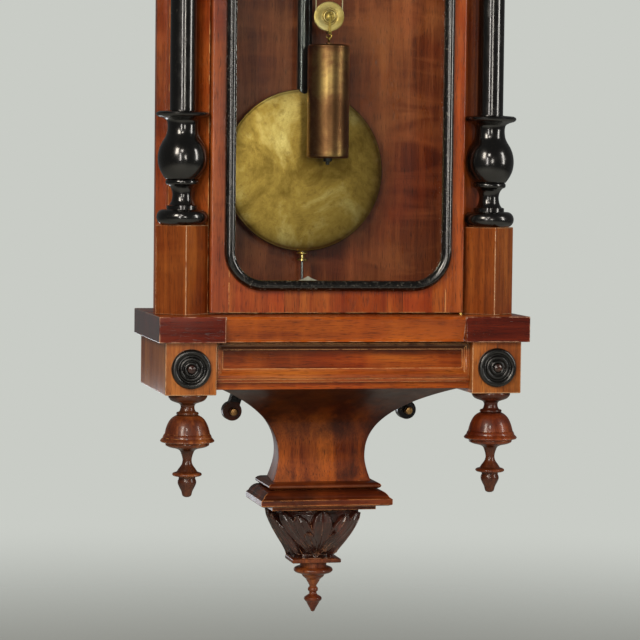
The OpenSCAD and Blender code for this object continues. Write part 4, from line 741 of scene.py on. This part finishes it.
# Columns: turned in the round, then a flat is cut where each stands against the canted post
column = dict(reach=29.9, flat=20.85, segments=80)
columnBox = measured("columns")
half = [(0, 0)] + bead((20.8, 0), (28.6, 17.2), 20) + [(17.4, 17.4), (17.4, 21.4)] \
    + smooth([(14.6, 22.2), (12.4, 26), (11.3, 31), (11.3, 35.5), (12.6, 40), (15.2, 43.6)]) \
    + bead((17.2, 44.4), (18.9, 50), 8) \
    + smooth([(18.9, 50.6), (21.4, 54), (24.1, 58.6), (26.3, 64), (27.5, 70.6), (27.4, 77), (26.2, 83.5), (23.6, 90),
    (20.2, 95.6), (17.9, 100.6), (17.0, 106), (17.0, 111.5), (18.4, 115.6), (22.6, 118)]) \
    + [(27.0, 119.2), (29.0, 120.4), (29.9, 122.2), (29.2, 124), (26.8, 125.3), (22, 125.7), (17.7, 126), (14.7, 126.6)]
wholeColumn = half + [(r, columnBox.high - columnBox.low - h) for r, h in reversed(half)]
columns = []
for s in (-1, 1):
    axis = at(s * (columnBox.right - column["reach"]), columnBox.front - column["reach"], columnBox.low)
    columns.append(turned(wholeColumn, axis, "up", "black", column["segments"]))
    inward = Vector((-s, 1, 0)).normalized()
    with editing(columns[-1]) as build:
        bmesh.ops.bisect_plane(build, geom=build.verts[:] + build.edges[:] + build.faces[:], dist=1e-7,
            clear_outer=True, plane_co=axis + inward * column["flat"] * mm, plane_no=inward)
        bmesh.ops.holes_fill(build, edges=[e for e in build.edges if e.is_boundary], sides=0)
addPiece("turnedColumns", joined(columns), ["columns"])
print("stage: columns turned")

# Head of the case
topCornice = dict(reach=22)
topBox, crestBox = measured("upper_cornice"), measured("crest")
addEased("headFrieze", "upper_frieze", 0.7)
topProfile = [(0, 28), (21.4, 28), (22, 27.4), (22, 23.4), (21.6, 22.9), (20, 22)] + ease((19, 21), (7, 9), 18) \
    + [(5, 8), (5, 5)] + bead((3, 5), (5, 1)) + [(0, 0)]
topProfile = [(r, topBox.low + h) for r, h in topProfile]
addPiece("headCornice", rectangleStack(topProfile, topBox.right - topCornice["reach"],
    topBox.front - topCornice["reach"], "cornice"), ["upper_cornice"], sharp=30)
addEased("crestBoard", "crest", 0.8)
knop = dict(slimmer=0.72, centreInset=30, sunk=8)
knopProfile = [(0, 0), (17, 0), (17, 6)] + ease((15, 8), (7, 14)) + bead((7, 14), (12, 20)) \
    + ease((8, 21), (18.5, 40)) + ease((18.5, 42), (6, 58)) + bead((6, 58), (9, 63)) + ease((5, 64), (8, 71)) \
    + ease((8, 72), (1.5, 82)) + [(0, 84)]
knops = [turned(knopProfile, at(x, dropDepth, topBox.high), "up", "turned") for x in (-blockX, blockX)]
knopFoot = crestBox.high - knop["sunk"]
knopShare = (measured("top_finials").high - knopFoot) / knopProfile[-1][1]
knops.append(turned([(r * knop["slimmer"], h * knopShare) for r, h in knopProfile],
    at(0, baseBlocks.front - knop["centreInset"], knopFoot), "up", "turned"))
addPiece("topKnops", joined(knops), ["top_finials"])

# Door, with a half-round ebonised moulding on a low foot bent round the glass
addEased("doorStiles", "door_stiles", 0.6)
addEased("doorRails", "door_rails", 0.6)
stickTree, add, given = newTree("halfRoundAlongPath", Width="Float", Height="Float")
halfWidth, otherHalf = [add("Math", given["Width"], share, operation="MULTIPLY") for share in (0.5, -0.5)]
outward = add("Math", given["Height"], -1.0, operation="MULTIPLY")
corners = [(otherHalf, outward), (halfWidth, outward), (halfWidth, 0.0), (otherHalf, 0.0)]
corners = {"point" + str(i + 1): add("CombineXYZ", x, y) for i, (x, y) in enumerate(corners)}
section = add("CurvePrimitiveQuadrilateral", mode="POINTS", **corners)
isFront = add("Math", add("InputIndex"), 1.5, operation="LESS_THAN")
rounding = add("Math", isFront, add("Math", halfWidth, 0.99, operation="MULTIPLY"), operation="MULTIPLY")
section = add("FilletCurve", section, count=9, radius=rounding, mode="POLY")
path = add("SetCurveNormal", given["Geometry"], mode="Z_UP")
closeTree(add, add("CurveToMesh", path, section, fillCaps=True), given)

moulding = dict(width=12.0, height=9.0, corner=39.0, cornerSteps=16)
mouldingBox, r = measured("door_moulding"), moulding["corner"]
right, low, high = [edge - s * moulding["width"] / 2 for edge, s in ((mouldingBox.right, 1), (mouldingBox.low, -1),
    (mouldingBox.high, 1))]
corners = [(right - r, high - r), (r - right, high - r), (r - right, low + r), (right - r, low + r)]
path = [p for i, centre in enumerate(corners) for p in arc(centre, r, i * 90, i * 90 + 90, moulding["cornerSteps"])]
stick = grown(stickTree, polyline([(x * mm, z * mm) for x, z in path], True), "blackWorn", Width=moulding["width"] * mm,
    Height=moulding["height"] * mm)
stick.transform(Matrix.Translation(at(0, mouldingBox.back, 0)) @ facings["out"])
addPiece("doorMoulding", stick, ["door_moulding"], sharp=50)
addEased("doorTurn", "door_latch", 0.3)
print("stage: door built")

# Pendulum: brass disc whose rim takes the darker weight brass, black lath with an arched front and a slot for the
# crutch, screwed end, nut
bob = dict(radius=93.5, depth=36.0, rim=92.4, segments=160)
bobX, bobZ, bobDepth = bobBox.left + bob["radius"], bobBox.low + bob["radius"], bob["depth"]
bobProfile = [(0, -8), (60, -7.2), (89.5, -5), (92.6, -2.6), (93.5, -2),
    (93.5, 1.4), (93.2, 2.1), (92.5, 2.5), (91.9, 2.4)] \
    + [(91.4 * cos(radians(a)), 2.5 + 5.5 * sin(radians(a))) for a in range(3, 90, 3)] + [(0, 8)]
disc = turned(bobProfile, at(bobX, bobDepth, bobZ), "out", "bob", bob["segments"])
paintWhere(disc, "weight", lambda x, d, z: hypot(x - bobX, z - bobZ) > bob["rim"])
addPiece("bobDisc", disc, ["pendulum_bob"], sharp=50)

rod = dict(halfWidth=8.25, halfDepth=4, arch=2.6, archSteps=12, backArris=0.8, endEase=0.6, footBelow=56,
    slotBelow=24, slotHalf=5, slotRadius=2, slotReach=9)
rodBox = measured("pendulum_rod")
rodLow, rodHigh, e = bobZ - rod["footBelow"], rodBox.high, rod["endEase"]
rings = []
for z, inset in [(rodLow, e), (rodLow + e, 0), (rodHigh - e, 0), (rodHigh, e)]:
    w, front, back = rod["halfWidth"] - inset, bobDepth + rod["halfDepth"] - inset, bobDepth - rod["halfDepth"] + inset
    b, n = rod["backArris"], rod["archSteps"]
    rings.append([(bobX + w, back + b, z), (bobX + w - b, back, z), (bobX - w + b, back, z), (bobX - w, back + b, z)]
        + [(bobX + w * i / n, front - rod["arch"] * abs(i / n) ** 2.2, z) for i in range(-n, n + 1)])
around = [radians(i * 20 + 10) for i in range(18)]
slot = [(bobX + rod["slotRadius"] * sin(a), rodHigh - rod["slotBelow"] + copysign(rod["slotHalf"], cos(a))
    + rod["slotRadius"] * cos(a)) for a in around]
slot = loft([[(x, bobDepth + d, z) for x, z in slot] for d in (-rod["slotReach"], rod["slotReach"])], "black")
lath = cutFrom(loft(rings, "black"), slot)
screwedEnd = turned([(0, 0), (1.1, 0), (1.5, 0.4), (1.5, 76), (0, 76)], at(bobX, bobDepth, rodBox.low),
    "up", "steel", 28)
addPiece("rodOfPendulum", joined([lath, screwedEnd]), ["pendulum_rod"], sharp=30)
nutProfile = [(1.55, 0), (5.2, 0), (5.8, 0.3), (6.5, 1), (6.5, 2.4), (6.1, 2.9), (4.4, 3.2), (3.4, 3.8), (3.4, 7.6),
    (4.4, 8.2), (6.1, 8.6), (6.5, 9), (6.5, 10.4), (5.9, 10.9), (5.3, 11.1), (1.55, 11.1)]
nutPlace = at(bobX, bobDepth, measured("rating_nut").low)
addPiece("ratingNut", turned(nutProfile, nutPlace, "up", "bright", 40, True), ["rating_nut"])

# Weight: brass shell with end caps, a nut under it and a wire eye that stands across
drive = dict(nutHeight=7.6, eyeBelow=4.0, segments=96)
shellProfile = [(0, 0), (22, 0), (22.6, 0.25), (23.75, 1.4), (24, 2.1), (24, 3.4), (23.7, 3.6), (23.7, 4.0), (24, 4.2),
    (24, 124.8), (23.7, 125), (23.7, 125.4), (24, 125.6), (24, 126.9), (23.75, 127.6), (22.6, 128.75),
    (22, 129), (4, 129), (4, 131.2), (3.6, 131.6), (0, 131.6)]
hookNut = [(0, 0), (5, 0), (5, 3.2), (4.6, 3.5), (2.4, 3.6), (2.4, 6.8), (2.1, 7.3), (0, 7.6)]
eyeRing = [(3.15 + 0.85 * cos(radians(i * 36)), 0.9 * sin(radians(i * 36))) for i in range(10)]
shellFoot = at(0, cordDepth, weightBox.low + drive["nutHeight"])
eyeMiddle = at(0, cordDepth, weightBox.high - drive["eyeBelow"])
eye = turned(eyeRing, eyeMiddle, "out", "bright", 40, True)
eye.transform(Matrix.Translation(eyeMiddle) @ Matrix.Rotation(pi / 2, 4, "Z") @ Matrix.Translation(-eyeMiddle))
addPiece("driveWeight", joined([turned(shellProfile, shellFoot, "up", "weight", drive["segments"]),
    turned(hookNut, shellFoot, "down", "iron", 40), eye]), ["weight"], sharp=35)

# Pulley: half the section of its grooved wheel, and the same on the far side
wheelHalf = [(1.9, 3.5), (3.1, 3.5), (3.5, 3.2), (3.8, 2.7), (5.1, 2.7), (5.5, 3.1), (6.3, 3.3), (7.0, 3.1), (7.6, 2.5),
    (8.0, 1.5), (9.0, 1.5), (9.5, 2.4), (10.2, 2.8), (16.3, 2.9), (16.8, 2.7), (17, 2.3), (17, 1.9), (14.5, 0.9)]
wheel = [(r, -h) for r, h in wheelHalf] + [(r, h) for r, h in reversed(wheelHalf)]
pulleyMiddle = at(0, cordDepth, pulleyZ)
addPiece("pulleyWheel", turned(wheel, pulleyMiddle, "out", "pulleyBrass", 96, True), ["pulley"], sharp=30)

# Stirrup: two cheeks with round heads, the axle between them, a block under the wheel and an open hook
stirrup = dict(gap=4.1, cheek=1.2, hookBelow=22, hookRadius=2.8, wire=0.95, hookSteps=40, hookStart=96, hookTurn=285)
headProfile = [(0, 0), (4.6, 0), (5, 0.3), (5, 0.9), (4.7, 1.2), (3.9, 1.2), (3.6, 0.9), (3.0, 0.9), (2.6, 1.2),
    (2.0, 1.35), (0, 1.6)]
parts = []
for s in (-1, 1):
    inner, outer = [cordDepth + s * d for d in (stirrup["gap"], stirrup["gap"] + stirrup["cheek"])]
    parts.append(turned([(r, s * h) for r, h in headProfile], at(0, inner, pulleyZ), "out", "bright", 48))
    parts.append(loft([[(-w, inner, pulleyZ - h), (w, inner, pulleyZ - h),
        (w, outer, pulleyZ - h), (-w, outer, pulleyZ - h)]
        for h, w in [(3.6, 1.9), (6, 1.6), (12, 1.4), (18.2, 1.4), (19.4, 1.7)]], "bright"))
parts.append(loft([[(x * f, cordDepth + d * f, pulleyZ - h)
    for x, d in [(-2.2, -5.3), (2.2, -5.3), (2.2, 5.3), (-2.2, 5.3)]]
    for h, f in [(18, 0.92), (18.3, 1), (19.3, 1), (19.6, 0.92)]], "bright"))
parts.append(turned([(0, -4.4), (1.5, -4.4), (1.5, 4.4), (0, 4.4)], pulleyMiddle, "out", "steel", 28))
rings = []
for i in range(stirrup["hookSteps"] + 1):
    a = radians(stirrup["hookStart"] - stirrup["hookTurn"] * i / stirrup["hookSteps"])
    wire = stirrup["wire"] * min(1.0, 0.4 + (stirrup["hookSteps"] - i) * 0.2)
    rings.append([((stirrup["hookRadius"] + wire * cos(b)) * cos(a), cordDepth + wire * sin(b),
        pulleyZ - stirrup["hookBelow"] + (stirrup["hookRadius"] + wire * cos(b)) * sin(a))
        for b in [radians(j * 30) for j in range(12)]])
parts.append(loft(rings, "bright"))
addPiece("pulleyStirrup", joined(parts), ["stirrup"], sharp=35)

# Gut: three strands laid round each other; each run stretches between the case and the weight
gutLine = dict(pitch=0.0045, strand=0.00036)
gutTree, add, given = newTree("twistedStrands", Length="Float", Pitch="Float", Strand="Float")
turns = add("Math", given["Length"], given["Pitch"], operation="DIVIDE")
helix = add("CurveSpiral", 9, turns, given["Strand"], given["Strand"], given["Length"])
strand = add("CurveToMesh", helix, add("CurvePrimitiveCircle", 6, radius=given["Strand"]), fillCaps=True)
spread = add("CombineXYZ", z=add("Math", add("InputIndex"), 2 * pi / 3, operation="MULTIPLY"))
strands = add("InstanceOnPoints", add("MeshLine", count=3, offset=(0, 0, 0)), instance=strand, rotation=spread)
closeTree(add, strands, given)
for name, node in (("gutToBarrel", "gut_barrel_run"), ("gutToStud", "gut_fixed_run")):
    run = measured(node)
    length = (run.high - run.low) * mm
    gut = grown(gutTree, bpy.data.meshes.new("blank"), "gut", Length=length,
        Pitch=gutLine["pitch"], Strand=gutLine["strand"])
    foot = at((run.left + run.right) / 2, (run.back + run.front) / 2, run.low)
    gut.transform(Matrix.Translation(foot))
    piece = addPiece(name, gut, [node], body="", sharp=80)
    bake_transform(piece)
print("stage: pendulum, weight and gut built")

# Beat scale: enamelled plate with fired marks, the middle one taller
scale = dict(marks=11, spacing=4.2, low=29.6, middle=(3.2, 0.5), others=(1.6, 0.28))
scaleBox = measured("beat_scale")
plate = [easedCopy("beat_scale", 0.2)]
for i in range(scale["marks"]):
    fromMiddle = i - (scale["marks"] - 1) / 2
    x, low = (scaleBox.left + scaleBox.right) / 2 + fromMiddle * scale["spacing"], scale["low"]
    tall, wide = scale["others"] if fromMiddle else scale["middle"]
    plate.append(loft([[(x - wide, d, low), (x + wide, d, low), (x + wide, d, low + tall), (x - wide, d, low + tall)]
        for d in (scaleBox.front - 0.1, scaleBox.front + 0.06)], "ink"))
addPiece("beatScale", joined(plate), ["beat_scale"])

# Dial: numerals and minute track fired on the enamel
dial = dict(foot=50.5, tall=15.5, thick=2.3, thin=0.8, serif=0.7, track=(71.6, 75.6), trackLine=0.5,
    lift=0.12, sunk=0.05, tickWide=0.00045, tickHigh=0.00024, fifthWider=2.6)
numerals = ["XII", "I", "II", "III", "IIII", "V", "VI", "VII", "VIII", "IX", "X", "XI"]
letterWide = {"I": 4.4, "V": 9.6, "X": 9.6}
dialBox = measured("dial")
dialX, dialZ = (dialBox.left + dialBox.right) / 2, (dialBox.low + dialBox.high) / 2
dialMiddle = at(dialX, dialBox.front, dialZ)
strokes = []  # foot and head of each stroke and its width, turned to its hour
for hour, numeral in enumerate(numerals):
    low, high = dial["foot"], dial["foot"] + dial["tall"]
    x = -sum(letterWide[c] for c in numeral) / 2
    for letter in numeral:
        w = letterWide[letter]
        left, right, middle = x + w * 0.24, x + w * 0.76, x + w / 2
        drawn = {"I": [(middle, middle, "thick")],
            "V": [(middle, left - 0.6, "thick"), (middle + 0.6, right + 0.6, "thin")],
            "X": [(right + 0.4, left - 0.4, "thick"), (left - 0.4, right + 0.4, "thin")]}[letter]
        strokes += [(hour, footX, low, headX, high, dial[width]) for footX, headX, width in drawn]
        for y, wide in ((high, w * 0.94), (low, w * (0.3 if letter == "V" else 0.94))):
            strokes.append((hour, middle, y - dial["serif"] / 2, middle, y + dial["serif"] / 2, wide))
        x += w
printed = []
for hour, x0, y0, x1, y1, wide in strokes:
    turn = radians(30 * hour)
    corners = [(x * cos(turn) + y * sin(turn), y * cos(turn) - x * sin(turn)) for x, y in
        [(x0 - wide / 2, y0), (x0 + wide / 2, y0), (x1 + wide / 2, y1), (x1 - wide / 2, y1)]]
    printed.append(loft([[(dialX + x, dialBox.front + d, dialZ + z) for x, z in corners]
        for d in (dial["lift"], -dial["sunk"])], "ink"))

tickTree, add, given = newTree("minuteTrack", Radius="Float", Long="Float")
count = add("InputIndex")
fifth = add("Math", add("Math", count, 5.0, operation="MODULO"), 0.5, operation="LESS_THAN")
wide = add("CombineXYZ", 1.0, add("MapRange", fifth, toMin=1.0, toMax=dial["fifthWider"]), 1.0)
tick = add("MeshCube", add("CombineXYZ", given["Long"], dial["tickWide"], dial["tickHigh"]))
turnTo = add("CombineXYZ", z=add("Math", count, 2 * pi / 60, operation="MULTIPLY"))
minutes = add("MeshCircle", 60, given["Radius"])
ticks = add("InstanceOnPoints", minutes, instance=tick, rotation=turnTo, scale=wide)
closeTree(add, ticks, given)
inner, outer = dial["track"]
ticks = grown(tickTree, bpy.data.meshes.new("blank"), "ink", Radius=(inner + outer) / 2 * mm, Long=(outer - inner) * mm)
ticks.transform(Matrix.Translation(dialMiddle) @ facings["out"])
half, lift, sunk = dial["trackLine"] / 2, dial["lift"], -dial["sunk"]
circles = [turned([(r - half, sunk), (r + half, sunk), (r + half, lift), (r - half, lift)],
    dialMiddle, "out", "ink", 160, True) for r in dial["track"]]
addPiece("dialPlate", joined([easedCopy("dial", 0.2)] + printed + [ticks] + circles), ["dial"])
addEased("minuteHand", "minute_hand", 0.15)
addEased("hourHand", "hour_hand", 0.15)
print("stage: dial made")

# Slotted screw heads in the bracket, each turned at random as they were left
screwTree, add, given = newTree("slottedScrews", Radius="Float", Height="Float", Seed="Int")
head = add("MeshCylinder", 24, radius=given["Radius"], depth=given["Height"])
slotLong, slotWide = [add("Math", given["Radius"], share, operation="MULTIPLY") for share in (3.0, 0.28)]
cutter = add("MeshCube", add("CombineXYZ", slotLong, slotWide, given["Height"]))
raised = add("CombineXYZ", z=add("Math", given["Height"], 0.5, operation="MULTIPLY"))
head = add("MeshBoolean", head, add("Transform", cutter, translation=raised), operation="DIFFERENCE")
left = add("CombineXYZ", z=add("RandomValue", max=3.14, seed=given["Seed"], data_type="FLOAT"))
heads = add("InstanceOnPoints", add("MeshToPoints", given["Geometry"]), instance=head, rotation=left)
closeTree(add, heads, given)

bracketScrew = dict(radius=3.0, height=1.1, depth=16, inset=(7, 6), seed=4)
bracketBox = measured("movement_bracket")
insetX, insetZ = bracketScrew["inset"]
height = bracketScrew["height"] * mm
spots = bpy.data.meshes.new("spots")
spots.from_pydata([(s * (bracketBox.right - insetX) * mm, (z - hangHeight) * mm, height / 2) for s in (-1, 1)
    for z in (bracketBox.low + insetZ, bracketBox.high - insetZ)], [], [])
heads = grown(screwTree, spots, "steel", Radius=bracketScrew["radius"] * mm, Height=height, Seed=bracketScrew["seed"])
heads.transform(Matrix.Translation((0, -bracketScrew["depth"] * mm, 0)) @ facings["out"])
addPiece("bracketScrews", heads, body="case")
addEased("levellingleftScrew", "levelling_screw_left", 0.3)
addEased("levellingrightScrew", "levelling_screw_right", 0.3)

# Camera at the photograph's place, lamps and floor
photoCamera = dict(place=(-0.6382, -2.9023, -0.6654), forward=(0.21763, 0.97440, -0.05634),
    up=(0.00121, 0.05746, 0.99835), lens=142.54, sensor=36)
camera = linked("photoCamera", bpy.data.cameras.new("photoCamera"))
forward = Vector(photoCamera["forward"]).normalized()
right = forward.cross(Vector(photoCamera["up"])).normalized()
up = right.cross(forward)
camera.matrix_world = Matrix.Translation(photoCamera["place"]) @ Matrix((right, up, -forward)).transposed().to_4x4()
camera.data.lens, camera.data.sensor_width = photoCamera["lens"], photoCamera["sensor"]
camera.data.clip_start, camera.data.clip_end = 0.05, 60
scene.camera = camera

lamps = [  # name, place, aimed at, size, watts, colour
    ("keyLamp", (-1.9, -2.4, 0.7), (0, -0.1, -0.65), (0.7, 1.2), 60, "#FFF4E4"),
    ("rightLamp", (2.1, -1.5, -0.1), (0, -0.1, -0.7), (0.4, 1.5), 26, "#FFFAF2"),
    ("edgeLamp", (-0.285, 1.0, -1.1), (-0.1, -0.1, -1.0), (0.17, 0.2), 0.35, "#F4F8FF"),
    ("frontLamp", (-0.9, -3.6, 1.1), (0, -0.1, -0.5), (0.5, 0.5), 20, "#FFF6EA"),
    ("stripLamp", (-1.22, -3.0, -0.45), (0, -0.1, -0.6), (0.2, 1.3), 20, "#FFF8F0"),
    ("softCard", (0.08, -3.6, -0.4), (-0.03, -0.05, -0.65), (0.35, 0.8), 14, "#FFF8EC"),
]
for name, place, target, size, watts, colour in lamps:
    lamp = linked(name, bpy.data.lights.new(name, "AREA"))
    lamp.data.shape = "RECTANGLE"
    lamp.data.size, lamp.data.size_y = size
    lamp.data.energy, lamp.data.color = watts, linear(colour)[:3]
    lamp.location = place
    lamp.rotation_euler = (Vector(target) - Vector(place)).to_track_quat("-Z", "Y").to_euler()

# The background is pale to the camera and through the glass, and dim to everything it lights
world = bpy.data.worlds.new("softStudio")
scene.world = world
world.use_nodes = True
world.node_tree.nodes.clear()
add = partial(addNode, world.node_tree)
rays = add("LightPath").node.outputs
dim, pale = [add("Background", *light) for light in (("#F2F4F2", 0.11), ("#C9CCC6", 1.0))]
seen = add("Math", rays["Is Camera Ray"], rays["Is Transmission Ray"], operation="ADD", use_clamp=True)
add("OutputWorld", add("MixShader", seen, dim, pale))


def palePaper(add, place, look):
    # Pale matt paper that fades into the background far from the clock
    reach = add("VectorMath", place, (0, 0, look["drop"]), operation="ADD")
    reach = add("VectorMath", reach, operation="LENGTH")
    fade = add("MapRange", reach, look["from"], look["to"], interpolation_type="SMOOTHSTEP")
    return add("MixShader", fade, add("BsdfDiffuse", look["colour"]), add("BsdfTransparent"))


studio = {"drop": 1.62, "radius": 6, "from": 1.2, "to": 4.0, "colour": "#D6D8D2"}
floorMesh = bpy.data.meshes.new("studioFloor")
with editing(floorMesh) as build:
    bmesh.ops.create_circle(build, cap_ends=True, segments=96, radius=studio["radius"])
floorMesh.transform(Matrix.Translation((0, 0, -studio["drop"])))
floorMesh.materials.append(newFinish("palePaper", palePaper, studio))
floor = linked("studioFloor", floorMesh)

print("stage: done")
